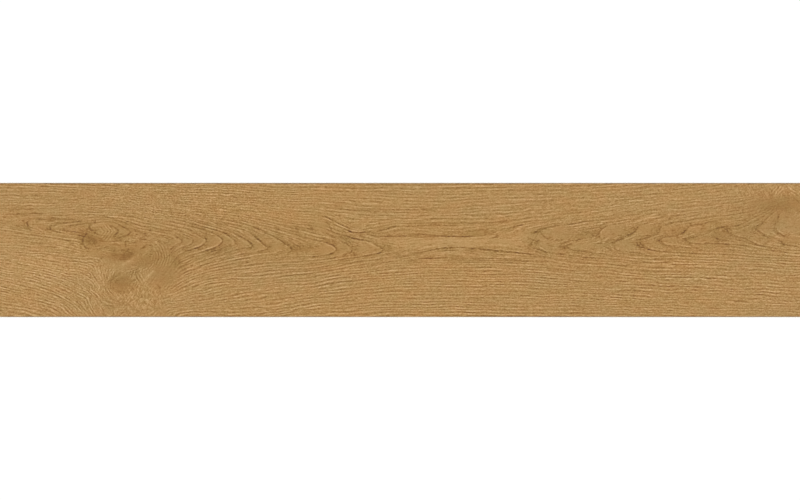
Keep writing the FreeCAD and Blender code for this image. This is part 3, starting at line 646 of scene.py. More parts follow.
# ---------------------------------------------------------------- fields at the grid's points
def ellipse(X, Y, x, y, a, b, turn=0.0, edge=0.4):
    """1 inside an ellipse, 0 outside, with a soft edge."""
    c, d = np.cos(np.radians(turn)), np.sin(np.radians(turn))
    u = ((X - x) * c + (Y - y) * d) / a
    v = (-(X - x) * d + (Y - y) * c) / b
    return 1 - smoothstep(1 - edge, 1 + edge, np.hypot(u, v))


def blobs(X, Y):
    out = np.zeros(X.shape)
    for x, y, a, b, turn, s in BLOBS:
        c, d = np.cos(np.radians(turn)), np.sin(np.radians(turn))
        u = ((X - x) * c + (Y - y) * d) / a
        v = (-(X - x) * d + (Y - y) * c) / b
        out += s * np.exp(-0.8 * (u * u + v * v))
    return out


def strokes(X, Y):
    """Distance to the nearest mark, in widths of it, that mark's strength and that of the light line beside it.

    The distance is signed, so it runs straight across a mark and the shader can
    draw the mark sharp between the grid's points. The light line is where it is positive.
    """
    xs, ys = X[:, 0], Y[0]
    far, strength, light, best = np.full(X.shape, 4.0), np.zeros(X.shape), np.zeros(X.shape), np.zeros(X.shape)
    for s, w, pts, *side in STROKES:
        s, w, side = 0.81 * s, 0.8 * w, side[0] if side else 0
        p, t = resample(pts, 0.5)
        m = 3 * w + 3
        i0, i1 = np.searchsorted(xs, [p[:, 0].min() - m, p[:, 0].max() + m])
        j0, j1 = np.searchsorted(ys, [p[:, 1].min() - m, p[:, 1].max() + m])
        if i1 <= i0 or j1 <= j0:
            continue
        part = (slice(i0, i1), slice(j0, j1))
        sx, sy = X[part], Y[part]
        n = ((sx[..., None] - p[:, 0]) ** 2 + (sy[..., None] - p[:, 1]) ** 2).argmin(-1)
        dx, dy = sx - p[n, 0], sy - p[n, 1]
        across = (dy * t[n, 0] - dx * t[n, 1]) / (0.55 * w)
        past = (dx * t[n, 0] + dy * t[n, 1]) / (0.55 * w)
        along = n / (len(p) - 1)
        hold = s * smoothstep(0, 0.12, along + 0.04) * smoothstep(0, 0.12, 1.04 - along)
        hold = hold * np.exp(-0.5 * past**2) * (1 - smoothstep(3.0, 5.0, np.abs(across)))
        weight = (np.abs(hold) + 1e-6) * np.exp(-across * across / 10)
        win = weight > best[part]
        best[part] = np.where(win, weight, best[part])
        far[part] = np.where(win, across * (side or 1), far[part])
        strength[part] = np.where(win, hold, strength[part])
        light[part] = np.where(win, -0.6 * hold * abs(side), light[part])
    return far, strength, light


def fans(X, Y):
    """Place in periods across the knots' small sets of lines, and their strength."""
    phase, strength = np.zeros(X.shape), np.zeros(X.shape)
    for place, s, kind, a, b, *c in FANS:
        hold = s * ellipse(X, Y, *place, edge=0.45)
        if kind == "round":
            turn = np.hypot(X - a, Y - b) / c[0]
        elif kind == "chevron":
            turn = (X + b * np.abs(Y - a)) / c[0]
        else:
            turn = (Y * np.cos(np.radians(a)) - X * np.sin(np.radians(a))) / b
        win = hold > strength
        phase, strength = np.where(win, turn, phase), np.where(win, hold, strength)
    return phase, strength


LINE_RATE = 0.345  # grain lines per figure unit, across the grain

# Sizes of the noises (figure units along x and y, then a plane of their own)
PHASE_WIDE, PHASE_FINE = (60.0, 14.0, 7.7), (9.0, 4.0, 1.3)
PATCH = (45.0, 15.0, 1.7)
DASH, FLECK = (7.0, 2.5, 5.1), (2.6, 1.1, 6.1)
RAGGED = (2.6, 2.0, 33.1)
MARK, PORE, TINY = (3.6, 3.6, 8.8), (7.0, 1.3, 2.2), (1.4, 0.9, 3.3)
CLUSTER = (1.9, 1.1, 14.6)
AMP = dict(
    phase_wide=0.4, phase_fine=0.10, phase_short=0.8,
    even=0.85, even_short=-0.35, long=1.35, bit=1.25, bit_short=0.8, most=1.5,
    line=17.2, tiny=26.0, hatch=27.0, edge=-13.8, zone=-12.0, lit=11.0, pore=-16.0, cluster=-17.0,
)


def figure_fields(xs, ys):
    field = ring_field()
    R, gx, gy = field.grid(xs, ys)
    X, Y = np.meshgrid(xs, ys, indexing="ij")
    g = np.maximum(np.hypot(gx, gy), 1e-3)
    spine = np.interp(xs, [p[0] for p in SPINE], [p[1] for p in SPINE])[:, None]
    away = np.abs(Y - spine)
    near = 1 - smoothstep(7, 24, away)
    ring = R + g * (1 - 0.8 * near) * (1.4 * perlin(X / 40, Y / 14, 3.3) + 0.5 * perlin(X / 16, Y / 8, 9.3))
    knots = np.maximum(ellipse(X, Y, 112, 274, 62, 42, 0, 0.35), ellipse(X, Y, 40, 285, 75, 36, 0, 0.3))
    finer = 1 + 0.07 * knots + 0.2 * ellipse(X, Y, 195, 203, 110, 18) + 0.06 * smoothstep(540, 600, X) * smoothstep(260, 274, Y)
    finer -= 0.11 * smoothstep(300, 330, X) * (1 - smoothstep(690, 720, X)) * (1 - smoothstep(216, 226, Y))
    finer += 0.05 * ellipse(X, Y, 55, 203, 85, 20)
    octave = np.clip(2 * np.log2(LINE_RATE * finer / g), -3, 8)
    steep = 1 - smoothstep(0.55, 0.93, np.abs(gy) / g)
    flat = 1 - smoothstep(0.012, 0.03, g)
    line = (1 - 0.92 * flat) * (1 - 0.85 * steep * (1 - knots)) * (1 - 0.30 * near * (1 - knots)) * (1 + 0.02 * knots)
    line *= 1 - 0.85 * np.maximum.reduce([ellipse(X, Y, *e, edge=0.35) for e in SMOOTH])
    line *= 1 - 0.08 * (1 - smoothstep(206, 236, Y)) + 0.16 * smoothstep(240, 275, Y) * smoothstep(200, 500, X)
    line *= 1 - 0.02 * ellipse(X, Y, 55, 203, 85, 20) + 0.13 * ellipse(X, Y, 195, 203, 110, 18) - 0.11 * ellipse(X, Y, 630, 200, 95, 18) - 0.12 * ellipse(X, Y, 750, 236, 62, 26)
    line *= 1 + 0.08 * ellipse(X, Y, 40, 285, 75, 36, 0, 0.3)
    calm = ellipse(X, Y, 733, 204, 52, 24)
    line *= (1 - 0.48 * ellipse(X, Y, 460, 242, 60, 4)) * (1 - 0.4 * ellipse(X, Y, 180, 262, 9, 8))
    line *= (1 - 0.2 * calm) * (1 - 0.3 * ellipse(X, Y, 302, 226, 24, 10))
    hatch = np.maximum.reduce([ellipse(X, Y, 140, 300, 26, 14), 0.7 * ellipse(X, Y, 768, 190, 38, 9), 0.1 * calm, 0.6 * ellipse(X, Y, 101, 277, 8, 18), 0.5 * ellipse(X, Y, 90, 242, 7, 6)])
    line *= 1 - 0.75 * hatch
    short = np.maximum.reduce([
        0.28 * knots, 0.42 * calm, 0.3 * ellipse(X, Y, 55, 203, 85, 20), 0.25 * smoothstep(540, 600, X) * smoothstep(258, 270, Y), 0.40 * ellipse(X, Y, 190, 203, 95, 22, 3), 0.2 * smoothstep(300, 330, X) * (1 - smoothstep(690, 720, X)) * (1 - smoothstep(216, 226, Y)), 0.38 * ellipse(X, Y, 630, 200, 95, 18, -3), 0.25 * ellipse(X, Y, 240, 302, 110, 26, 0),
    ])
    rings = np.exp(-((away / 24) ** 2)) * smoothstep(150, 185, X) * (1 - 0.35 * smoothstep(640, 800, X))
    rings += 0.7 * np.exp(-((away / 11) ** 2)) * smoothstep(8, 20, X) * (1 - smoothstep(70, 90, X))
    rings *= 1 - np.maximum(ellipse(X, Y, 388, 249, 9, 6), ellipse(X, Y, 794, 220, 14, 16))
    porous = np.maximum.reduce([ellipse(X, Y, *e, edge=0.5) for e in POROUS])
    mark_u, mark_s, mark_l = strokes(X, Y)
    fan, fan_s = fans(X, Y)
    line *= 1 - 0.8 * np.minimum(fan_s / 8, 1)
    tiny = (0.38 + 0.62 * line) * (1 + 0.1 * knots + 0.15 * near * (1 - knots) + 0.35 * ellipse(X, Y, 190, 203, 95, 22, 3) + 0.3 * calm + 0.25 * smoothstep(520, 560, X) * (1 - smoothstep(250, 266, Y)) * (1 - calm))
    return dict(
        ring=ring, octave=octave, line=line, short=short, rings=rings, near=near, mark_u=mark_u, mark_s=mark_s, mark_l=mark_l,
        # the figure's own darker and lighter patches (knots and slow tone), less 8 levels of painted shade along the
        # long edges' last grid row and the glazed first step of the bevel
        fan=fan, fan_s=fan_s, tone_and_edge_shade=blobs(X, Y) - 8 * smoothstep(65.6, 66.2, np.abs(Y - MIDDLE[1])), porous=porous, hatch=hatch, tiny_s=tiny,
    )


def relief_tone(f, xs, ys):
    """The figure's tone, in levels, without its finest parts: what the relief follows."""
    X, Y = np.meshgrid(xs, ys, indexing="ij")

    def at(size):
        return perlin(X / size[0], Y / size[1], size[2])

    Q, s = f["ring"], f["short"]
    m = np.floor(f["octave"])
    t = smoothstep(0.3, 0.7, f["octave"] - m)
    phase = AMP["phase_wide"] * at(PHASE_WIDE) + (AMP["phase_fine"] + AMP["phase_short"] * s) * at(PHASE_FINE)
    lines = 0.0
    for n, w in ((m, 1 - t), (m + 1, t)):
        k = 2.0 ** (n / 2)
        strength = np.minimum(AMP["even"] + AMP["even_short"] * s + AMP["long"] * perlin(Q * k * 0.8 + 3.1, X / 13, Y / 7), AMP["most"])
        lines = lines + w * np.sin(2 * np.pi * (Q * k + 0.37 * n + phase)) * strength
    out = f["line"] * (1 + 0.5 * at(PATCH)) * AMP["line"] * lines
    part = Q - np.floor(Q)
    gap = 2.0 ** (f["octave"] / 2) / LINE_RATE
    outside, inside = (1 - part) * gap, part * gap
    kind = np.clip(0.85 + perlin(np.floor(Q) * 1.37 + 0.5, X / 30, Y / 14), 0.2, 2)
    edge = smoothstep(0.0, 0.3, outside) * (1 - smoothstep(0.75, 1.7, outside)) * np.clip(0.9 + 1.5 * at(DASH), 0.1, 2)
    lit = smoothstep(0.0, 0.3, inside) * (1 - smoothstep(0.6, 2.0, inside))
    out += f["rings"] * kind * (AMP["edge"] * edge + 0.7 * AMP["zone"] * np.exp(-outside / (2.2 + 0.12 * gap)) + AMP["lit"] * lit)
    out += f["mark_s"] * np.exp(-0.5 * f["mark_u"] ** 2) + f["mark_l"] * np.exp(-0.6 * (f["mark_u"] - 2.4) ** 2)
    out += f["fan_s"] * np.sin(2 * np.pi * f["fan"]) - 9 * f["porous"]
    out += AMP["pore"] * smoothstep(0.22, 0.5, at(PORE)) * (0.35 + 0.65 * f["near"])
    return out


# ---------------------------------------------------------------- the tile's mesh
low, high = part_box("plank_tile")
HALF_X, HALF_Y, TOP = (high.x - low.x) / 2, (high.y - low.y) / 2, high.z
BEVEL, ARRIS = 0.0008, 0.0005
GROOVE_WIDTH, GROOVE_DEPTH, GROOVE_PITCH, GROOVES = 0.005, 0.0006, 0.012, 15
GROOVE_MARGIN, GROOVE_DRAFT = 0.014, math.radians(30)
RIM = BEVEL + 0.0003  # where the face's grid ends


def spaced_columns(start, end, table):
    """Columns as close as the table of (place, spacing) asks for."""
    fine = np.linspace(start, end, 20001)
    gap = np.interp(fine, [a for a, _ in table], [b for _, b in table])
    count = np.concatenate([[0], np.cumsum(np.diff(fine) / ((gap[1:] + gap[:-1]) / 2))])
    n = int(round(count[-1]))
    return np.interp(np.linspace(0, count[-1], n + 1), count, fine)


edge_u = (HALF_X - RIM) / UNIT
cols = spaced_columns(
    MIDDLE[0] - edge_u, MIDDLE[0] + edge_u,
    [(0, 1.9), (70, 1.8), (85, 1.3), (180, 1.4), (240, 1.8), (370, 1.9), (410, 3.2), (515, 3.2), (545, 1.8), (800, 1.8)],
)
edge_v = (HALF_Y - RIM) / UNIT
rows = np.linspace(MIDDLE[1] - edge_v, MIDDLE[1] + edge_v, 193)
nx, ny = len(cols), len(rows)

fields = figure_fields(cols, rows)
tone = relief_tone(fields, cols, rows)
gx, gy = np.meshgrid((cols - MIDDLE[0]) * UNIT, (MIDDLE[1] - rows) * UNIT, indexing="ij")
margin = np.minimum(HALF_X - RIM - np.abs(gx), HALF_Y - RIM - np.abs(gy))
depth = np.clip(0.080 - 0.0045 * (tone + 0.6 * fields["tone_and_edge_shade"]), 0.0, 0.26) * 1e-3
depth *= smoothstep(0.0, 0.0015, margin)

verts = [np.stack([gx, gy, TOP - depth], -1).reshape(-1, 3)]
faces, uvs, mats = [], [], []  # lists of tuples, kept in step
GLAZE, BISCUIT = 0, 1


def uv_of_face(p):
    return np.stack([0.01 + 0.98 * (p[..., 0] + HALF_X) / (2 * HALF_X), 0.31 + 0.68 * (p[..., 1] + HALF_Y) / (2 * HALF_Y)], -1)


def uv_of_back(p):
    return np.stack([0.01 + 0.98 * (p[..., 0] + HALF_X) / (2 * HALF_X), 0.09 + 0.20 * (p[..., 1] + HALF_Y) / (2 * HALF_Y)], -1)


def put(quads, corner_uvs, material):
    faces.extend(map(tuple, quads.tolist()))
    uvs.append(corner_uvs.reshape(-1, 2))
    mats.extend([material] * len(quads))


index = np.arange(nx * ny).reshape(nx, ny)
quads = np.stack([index[:-1, :-1], index[:-1, 1:], index[1:, 1:], index[1:, :-1]], -1).reshape(-1, 4)
put(quads, uv_of_face(verts[0][quads]), GLAZE)

# The rim, counter-clockwise from above: front, right, back and left side
sides = [index[:-1, -1], index[-1, :0:-1], index[:0:-1, 0], index[0, :-1]]
rim = np.concatenate(sides)
side_of = np.concatenate([np.full(len(s), n) for n, s in enumerate(sides)])
count = len(rim)
rim_xy = verts[0][rim][:, :2]
unit_xy = rim_xy / np.array([HALF_X - RIM, HALF_Y - RIM])

# Inset and height of each loop: softened bevel, ground edge, arris
profile = []
for a in np.radians([18, 36, 54, 72, 90]):
    straight = (1 - math.sin(a) ** 2, math.sin(a) ** 2)
    round_ = (1 - math.sin(a), 1 - math.cos(a))
    mix = [0.6 * s + 0.4 * r for s, r in zip(straight, round_)]
    profile.append((BEVEL * 1.1 * mix[0], TOP - BEVEL * 1.1 * mix[1]))
profile += [(0.0, ARRIS * 1.1), (ARRIS, 0.0)]
STRIPS = [(0.01, 0.99, 0.005, 0.022), (0.01, 0.30, 0.055, 0.072), (0.01, 0.99, 0.028, 0.045), (0.34, 0.63, 0.055, 0.072)]
path = [0.0]
last = (RIM, TOP)
for p in profile:
    path.append(path[-1] + math.dist(p, last))
    last = p
path = np.array(path) / path[-1]
run = np.zeros(count)  # 0..1 along each side
for n, s in enumerate(sides):
    run[side_of == n] = np.arange(len(s)) / len(s)
run_next = np.roll(run, -1)
run_next[np.roll(side_of, -1) != side_of] = 1.0

above = rim
total = nx * ny
for n, (inset, z) in enumerate(profile):
    xy = unit_xy * np.array([HALF_X - inset, HALF_Y - inset])
    verts.append(np.column_stack([xy, np.full(count, z)]))
    below = total + np.arange(count)
    total += count
    quads = np.stack([above, below, np.roll(below, -1), np.roll(above, -1)], -1)
    box = np.array(STRIPS)[side_of]
    u0, u1 = box[:, 0] + (box[:, 1] - box[:, 0]) * run, box[:, 0] + (box[:, 1] - box[:, 0]) * run_next
    v0, v1 = (box[:, 3] - (box[:, 3] - box[:, 2]) * path[k] for k in (n, n + 1))
    corner = np.stack([np.stack([u0, v0], -1), np.stack([u0, v1], -1), np.stack([u1, v1], -1), np.stack([u1, v0], -1)], 1)
    put(quads, corner, BISCUIT if n else GLAZE)
    above = below

# The back: keying grooves in a plain band
wall = GROOVE_DEPTH * math.tan(GROOVE_DRAFT)
end = HALF_X - GROOVE_MARGIN
band_x, band_y = HALF_X - 0.006, HALF_Y - 0.006
bx = np.concatenate([[-band_x, -end], np.linspace(-end + wall, end - wall, 41), [end, band_x]])
by, floor_row = [-band_y], [False]
for n in range(GROOVES):
    c = (n - (GROOVES - 1) / 2) * GROOVE_PITCH
    by += [c - GROOVE_WIDTH / 2, c - GROOVE_WIDTH / 2 + wall, c + GROOVE_WIDTH / 2 - wall, c + GROOVE_WIDTH / 2]
    floor_row += [False, True, True, False]
by, floor_row = np.array(by + [band_y]), np.array(floor_row + [False])
deep_col = np.ones(len(bx), bool)
deep_col[[0, 1, -2, -1]] = False
bX, bY = np.meshgrid(bx, by, indexing="ij")
bZ = np.where(deep_col[:, None] & floor_row[None, :], GROOVE_DEPTH, 0.0)
back = np.stack([bX, bY, bZ], -1).reshape(-1, 3)
verts.append(back)
bi = total + np.arange(len(back)).reshape(len(bx), len(by))
total += len(back)
allv = np.vstack(verts)
quads = np.stack([bi[:-1, :-1], bi[:-1, 1:], bi[1:, 1:], bi[1:, :-1]], -1).reshape(-1, 4)
deep = (allv[quads][..., 2] > GROOVE_DEPTH / 2).astype(int)
lone = deep.sum(1) == 1  # groove corners, split along the mitre
put(quads[~lone], uv_of_back(allv[quads[~lone]]), BISCUIT)
tris = []
for q, d in zip(quads[lone], deep[lone]):
    k = int(np.argmax(d))
    q = np.roll(q, -k)
    tris += [(q[0], q[1], q[2]), (q[0], q[2], q[3])]
tris = np.array(tris)
put(tris, uv_of_back(allv[tris]), BISCUIT)

# The plain band between the arris and the back's grid, side by side
inner_sides = [bi[:, 0], bi[-1, :], bi[::-1, -1], bi[0, ::-1]]
tris = []
for n, s in enumerate(sides):
    outer = above[side_of == n]
    outer = np.append(outer, above[(np.flatnonzero(side_of == n)[-1] + 1) % count])
    inner = inner_sides[n]
    axis = 0 if n in (0, 2) else 1
    po, pi = allv[outer][:, axis], allv[inner][:, axis]
    po, pi = ((p - p[0]) / (p[-1] - p[0]) for p in (po, pi))
    a = b = 0
    while a < len(outer) - 1 or b < len(inner) - 1:
        if b == len(inner) - 1 or (a < len(outer) - 1 and po[a + 1] <= pi[b + 1]):
            tris.append((outer[a], inner[b], outer[a + 1]))
            a += 1
        else:
            tris.append((outer[a], inner[b], inner[b + 1]))
            b += 1
tris = np.array(tris)
put(tris, uv_of_back(allv[tris]), BISCUIT)

mesh = bpy.data.meshes.new("plank_tile_fired")
mesh.from_pydata(allv.tolist(), [], faces)
mesh.polygons.foreach_set("material_index", np.array(mats, np.int32))
mesh.uv_layers.new(name="OFBake").data.foreach_set("uv", np.vstack(uvs).astype(np.float32).ravel())
mesh.polygons.foreach_set("use_smooth", np.ones(len(faces), bool))
for name, value in fields.items():
    full = np.zeros(len(allv), np.float32)
    full[: nx * ny] = value.ravel()
    for n in range(len(profile)):
        full[nx * ny + n * count : nx * ny + (n + 1) * count] = value.ravel()[rim]
    mesh.attributes.new(name, "FLOAT", "POINT").data.foreach_set("value", full)
mesh.update()
mesh.set_sharp_from_angle(angle=math.radians(24))
tile = bpy.data.objects.new("plank_tile_fired", mesh)
bpy.context.scene.collection.objects.link(tile)


# ---------------------------------------------------------------- materials
class Graph:
    """Shader nodes written as formulas. A value is a number or a node's output."""

    def __init__(self, name):
        self.material = bpy.data.materials.new(name)
        self.material.use_nodes = True
        self.tree = self.material.node_tree
        self.tree.nodes.clear()

    def node(self, kind, **settings):
        n = self.tree.nodes.new(kind)
        for key, value in settings.items():
            setattr(n, key, value)
        return n

    def feed(self, socket, value):
        if isinstance(value, bpy.types.NodeSocket):
            self.tree.links.new(value, socket)
        else:
            socket.default_value = value

    def math(self, operation, *values, clamp=False):
        n = self.node("ShaderNodeMath", operation=operation, use_clamp=clamp)
        for socket, value in zip(n.inputs, values):
            self.feed(socket, value)
        return n.outputs[0]

    def add(self, *values):
        out = values[0]
        for v in values[1:]:
            out = self.math("ADD", out, v)
        return out

    def mul(self, *values):
        out = values[0]
        for v in values[1:]:
            out = self.math("MULTIPLY", out, v)
        return out

    def fit(self, value, a, b, to_a=0.0, to_b=1.0, kind="SMOOTHSTEP"):
        """Maps a..b to to_a..to_b, held at the ends."""
        n = self.node("ShaderNodeMapRange", interpolation_type=kind, clamp=True)
        for key, v in zip(("Value", "From Min", "From Max", "To Min", "To Max"), (value, a, b, to_a, to_b)):
            self.feed(n.inputs[key], v)
        return n.outputs["Result"]

    def attribute(self, name):
        return self.node("ShaderNodeAttribute", attribute_name=name).outputs["Fac"]

    def vector(self, x, y, z):
        n = self.node("ShaderNodeCombineXYZ")
        for socket, value in zip(n.inputs, (x, y, z)):
            self.feed(socket, value)
        return n.outputs[0]

    def noise(self, vector, detail=0.0, rough=0.5):
        n = self.node("ShaderNodeTexNoise", normalize=False)
        for key, v in zip(("Vector", "Scale", "Detail", "Roughness"), (vector, 1.0, detail, rough)):
            self.feed(n.inputs[key], v)
        return n.outputs[0]

    def place(self):
        """The point on the tile in its own metres: x, y, z."""
        n = self.node("ShaderNodeSeparateXYZ")
        self.tree.links.new(self.node("ShaderNodeTexCoord").outputs["Object"], n.inputs[0])
        return n.outputs

    def principled(self, **values):
        shader = self.node("ShaderNodeBsdfPrincipled")
        for key, v in values.items():
            self.feed(shader.inputs[key.replace("_", " ")], v)
        self.tree.links.new(shader.outputs[0], self.node("ShaderNodeOutputMaterial").inputs["Surface"])
        return shader


def glaze_material():
    g = Graph("wood_print_glaze")
    px, py, _ = g.place()
    x = g.math("MULTIPLY_ADD", px, 1 / UNIT, MIDDLE[0])
    y = g.math("MULTIPLY_ADD", py, -1 / UNIT, MIDDLE[1])

    def at(size, **kw):
        return g.noise(g.vector(g.mul(x, 1 / size[0]), g.mul(y, 1 / size[1]), size[2]), **kw)

    ring, octave, line, short, rings, near, mark_u, mark_s, mark_l, fan, fan_s, tone_and_edge_shade, porous, hatch, tiny_s = (
        g.attribute(n)
        for n in ("ring", "octave", "line", "short", "rings", "near", "mark_u", "mark_s", "mark_l", "fan", "fan_s", "tone_and_edge_shade", "porous", "hatch", "tiny_s")
    )
    # grain lines along the rings' contours, at the rate that keeps their spacing
    whole = g.math("FLOOR", octave)
    blend = g.fit(g.math("FRACT", octave), 0.3, 0.7)
    phase = g.add(
        g.mul(at(PHASE_WIDE), AMP["phase_wide"]),
        g.mul(at(PHASE_FINE), g.math("MULTIPLY_ADD", short, AMP["phase_short"], AMP["phase_fine"])),
    )
    bits = g.math("MULTIPLY_ADD", short, AMP["bit_short"], AMP["bit"])
    even = g.math("MULTIPLY_ADD", short, AMP["even_short"], AMP["even"])
    waves = []
    for step in (0.0, 1.0):
        n = g.add(whole, step)
        rate = g.mul(ring, g.math("POWER", 2.0, g.mul(n, 0.5)))
        turn = g.add(rate, g.mul(n, 0.37), phase)
        wave = g.math("SINE", g.mul(turn, 2 * math.pi))
        long_ = g.noise(g.vector(g.math("MULTIPLY_ADD", rate, 0.8, 3.1), g.mul(x, 1 / 13), g.mul(y, 1 / 7)))
        bit = g.noise(g.vector(g.math("MULTIPLY_ADD", rate, 0.9, 40.7), g.mul(x, 1 / 3.2), g.mul(y, 1 / 3.2)))
        strength = g.math("MINIMUM", g.add(g.mul(long_, AMP["long"]), even, g.mul(bit, bits)), AMP["most"])
        waves.append(g.mul(wave, strength))
    lines = g.add(g.mul(waves[0], g.math("SUBTRACT", 1.0, blend)), g.mul(waves[1], blend))
    lines = g.mul(lines, line, g.math("MULTIPLY_ADD", at(PATCH), 0.5, 1.0), AMP["line"])
    tiny = g.mul(at(TINY), tiny_s, AMP["tiny"])
    # short crossing lines where the grain is in disorder
    crossed = []
    for turn, plane in ((58, 25.3), (-52, 27.9)):
        c, d = math.cos(math.radians(turn)), math.sin(math.radians(turn))
        along, across = g.add(g.mul(x, c), g.mul(y, d)), g.add(g.mul(x, -d), g.mul(y, c))
        crossed.append(g.noise(g.vector(g.mul(along, 1 / 3.6), g.mul(across, 1 / 1.25), plane)))
    hatch_tone = g.mul(g.add(*crossed), hatch, AMP["hatch"])
    # year rings: a dark line outside each, a porous zone before it, a light line inside
    part = g.math("FRACT", ring)
    gap = g.mul(g.math("POWER", 2.0, g.mul(octave, 0.5)), 1 / LINE_RATE)
    ragged = at(RAGGED)
    outside = g.math("MULTIPLY_ADD", ragged, 0.6, g.mul(g.math("SUBTRACT", 1.0, part), gap))
    inside = g.mul(part, gap)
    kind = g.noise(g.vector(g.math("MULTIPLY_ADD", g.math("FLOOR", ring), 1.37, 0.5), g.mul(x, 1 / 30), g.mul(y, 1 / 14)))
    kind = g.fit(kind, -0.65, 1.15, 0.2, 2.0, "LINEAR")
    edge = g.mul(g.fit(outside, 0.0, 0.3), g.fit(outside, 0.75, 1.7, 1.0, 0.0), g.fit(at(DASH), -0.533, 0.733, 0.1, 2.0, "LINEAR"))
    zone = g.mul(g.math("EXPONENT", g.mul(g.math("DIVIDE", outside, g.math("MULTIPLY_ADD", gap, 0.12, 2.2)), -1.0)), g.fit(at(FLECK), -0.292, 0.542, 0.0, 2.0, "LINEAR"))
    lit = g.mul(g.fit(inside, 0.0, 0.3), g.fit(inside, 0.6, 2.0, 1.0, 0.0))
    ring_tone = g.mul(rings, kind, g.add(g.mul(edge, AMP["edge"]), g.mul(zone, AMP["zone"]), g.mul(lit, AMP["lit"])))
    mark_u = g.math("MULTIPLY_ADD", ragged, 1.1, mark_u)
    mark = g.math("EXPONENT", g.mul(mark_u, mark_u, -0.5))
    beside = g.math("SUBTRACT", mark_u, 2.4)
    beside = g.math("EXPONENT", g.mul(beside, beside, -0.6))
    mark_tone = g.mul(g.add(g.mul(mark_s, mark), g.mul(mark_l, beside)), g.fit(at(MARK), -0.85, 0.85, 0.0, 2.0, "LINEAR"))
    # sets of lines in the knots, and porous patches
    fan_turn = g.math("MULTIPLY_ADD", at(PHASE_FINE), 0.35, fan)
    fan_tone = g.mul(g.math("SINE", g.mul(fan_turn, 2 * math.pi)), fan_s, g.fit(at((3.0, 3.0, 19.4)), -0.6, 0.6, 0.1, 1.9, "LINEAR"))
    cluster = g.mul(porous, g.fit(at(CLUSTER), -0.02, 0.32, 0.1, 1.0))
    pore = g.mul(g.fit(at(PORE), 0.22, 0.5), g.math("MULTIPLY_ADD", near, 0.65, 0.35))
    fine = g.add(lines, tiny, hatch_tone, ring_tone, mark_tone, fan_tone, g.mul(pore, AMP["pore"]), g.mul(cluster, AMP["cluster"]))
    level = g.mul(g.add(fine, tone_and_edge_shade), 1 / 255)
    # print colour: the same amount on all three channels, over a slowly changing base
    drift = at((70.0, 22.0, 12.4), detail=1.0)
    hue = at((13.0, 8.0, 65.35))
    red = g.add(g.mul(level, GAIN[0]), g.math("MULTIPLY_ADD", drift, 0.010, BASE[0]), g.mul(hue, 0.010))
    green = g.add(g.math("MULTIPLY_ADD", level, GAIN[1], BASE[1]), g.mul(hue, -0.007))
    blue = g.add(g.mul(level, GAIN[2]), g.math("MULTIPLY_ADD", drift, -0.008, BASE[2]), g.mul(hue, -0.004))
    shown = g.node("ShaderNodeCombineColor")
    for socket, value in zip(shown.inputs, (red, green, blue)):
        g.feed(socket, value)
    gamma = g.node("ShaderNodeGamma")
    g.feed(gamma.inputs["Color"], shown.outputs[0])
    gamma.inputs["Gamma"].default_value = 2.2
    # matt glaze, duller in the pores
    rough = g.add(g.math("MULTIPLY_ADD", at((4.0, 1.5, 21.0), detail=2.0), 0.10, 0.52), g.mul(pore, 0.10), g.mul(level, -0.6))
    bump = g.node("ShaderNodeBump")
    bump.inputs["Strength"].default_value = 1.0
    bump.inputs["Distance"].default_value = 0.00005
    height = g.add(g.mul(tiny, 1 / 12), g.mul(pore, -1.2), at((0.5, 0.5, 30.0), detail=1.0))
    g.feed(bump.inputs["Height"], height)
    g.principled(Base_Color=gamma.outputs[0], Roughness=rough, Normal=bump.outputs[0])
    return g.material


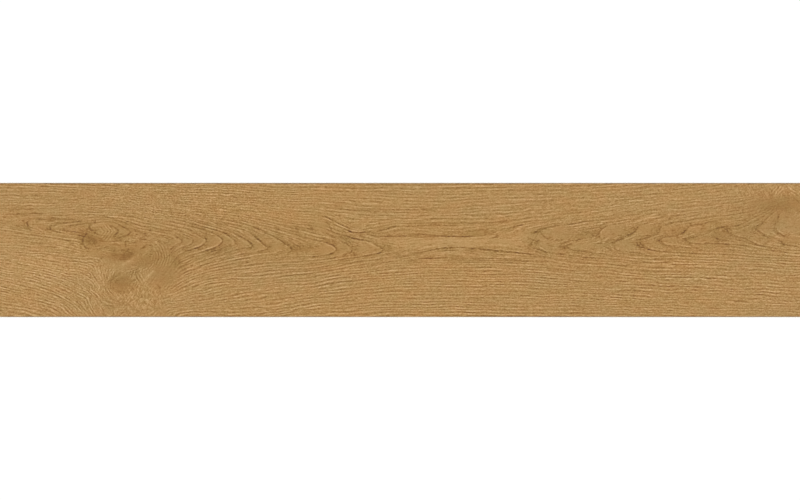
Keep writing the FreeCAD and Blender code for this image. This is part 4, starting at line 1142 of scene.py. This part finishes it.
def biscuit_material():
    g = Graph("porcelain_biscuit")
    px, py, pz = g.place()

    def at(mm, plane, stretch=(1.0, 1.0, 1.0), **kw):
        return g.noise(g.vector(*(g.math("MULTIPLY_ADD", p, 1000 / mm / s, plane) for p, s in zip((px, py, pz), stretch))), **kw)

    mottle = at(34.0, 3.0, detail=3.0)
    speck = at(0.6, 11.0, detail=1.0)
    dark = g.fit(at(0.7, 17.0), 0.34, 0.66)
    pale = g.fit(at(0.9, 23.0), 0.34, 0.66)
    streak = at(0.22, 29.0, (160.0, 160.0, 1.0), detail=1.0)
    level = g.add(g.mul(mottle, 0.035), g.mul(speck, 0.035), g.mul(dark, -0.075), g.mul(pale, 0.045), g.mul(streak, 0.012))
    shown = g.node("ShaderNodeCombineColor")
    # the bevel is darker and greyer than the body below it: partly the edge's own colour, partly painted shade on the
    # bevel
    bevel_dark_mix = g.fit(pz, TOP - 0.0011, TOP - 0.0008)
    for socket, base, bevel_dark in zip(shown.inputs, BODY, BEVEL_TONE_AND_SHADE):
        g.feed(socket, g.add(level, g.math("MULTIPLY_ADD", bevel_dark_mix, bevel_dark - base, base)))
    gamma = g.node("ShaderNodeGamma")
    g.feed(gamma.inputs["Color"], shown.outputs[0])
    gamma.inputs["Gamma"].default_value = 2.2
    rough = g.math("MULTIPLY_ADD", speck, 0.12, 0.72)
    bump = g.node("ShaderNodeBump")
    bump.inputs["Strength"].default_value = 1.0
    bump.inputs["Distance"].default_value = 0.00004
    g.feed(bump.inputs["Height"], g.add(speck, g.mul(dark, -0.5), g.mul(streak, 0.5)))
    g.principled(Base_Color=gamma.outputs[0], Roughness=rough, Normal=bump.outputs[0])
    return g.material


BASE = (0.6456, 0.4901, 0.2726)
GAIN = (1.05, 1.06, 1.21)
BODY = (0.69, 0.625, 0.525)
# the bevel's darker colour: partly its own greyer tone, partly painted shade
BEVEL_TONE_AND_SHADE = (0.545, 0.455, 0.33)
mesh.materials.append(glaze_material())
mesh.materials.append(biscuit_material())

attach(tile, "root")
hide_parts("plank_tile")

# ---------------------------------------------------------------- stage, light and camera
floor_mesh = bpy.data.meshes.new("floor")
F = 60.0
floor_mesh.from_pydata([(-F, -F, 0), (F, -F, 0), (F, F, 0), (-F, F, 0)], [], [(0, 1, 2, 3)])
floor = bpy.data.objects.new("floor", floor_mesh)
bpy.context.scene.collection.objects.link(floor)
floor.location.z = low.z - 0.0001
fg = Graph("floor_white")
fg.principled(Base_Color=(0.93, 0.93, 0.93, 1.0), Roughness=0.9)
floor_mesh.materials.append(fg.material)

world = bpy.data.worlds.new("studio")
bpy.context.scene.world = world
world.use_nodes = True
background = world.node_tree.nodes["Background"]
background.inputs["Color"].default_value = (1.0, 1.0, 1.0, 1.0)
background.inputs["Strength"].default_value = 0.25

for name, tilt in (("key_left", -40), ("key_right", 40)):
    sun = bpy.data.objects.new(name, bpy.data.lights.new(name, "SUN"))
    sun.data.energy = 1.76
    sun.data.angle = math.radians(16)
    sun.rotation_euler = (0.0, math.radians(tilt), 0.0)
    bpy.context.scene.collection.objects.link(sun)

camera = bpy.data.objects.new("camera", bpy.data.cameras.new("camera"))
camera.data.lens, camera.data.sensor_width = 100.0, 36.0
camera.location = (0.0, 0.0, TOP + 800 * UNIT * camera.data.lens / camera.data.sensor_width)
camera.data.clip_end = 200.0
bpy.context.scene.collection.objects.link(camera)
bpy.context.scene.camera = camera
bpy.context.scene.view_settings.view_transform = "Standard"
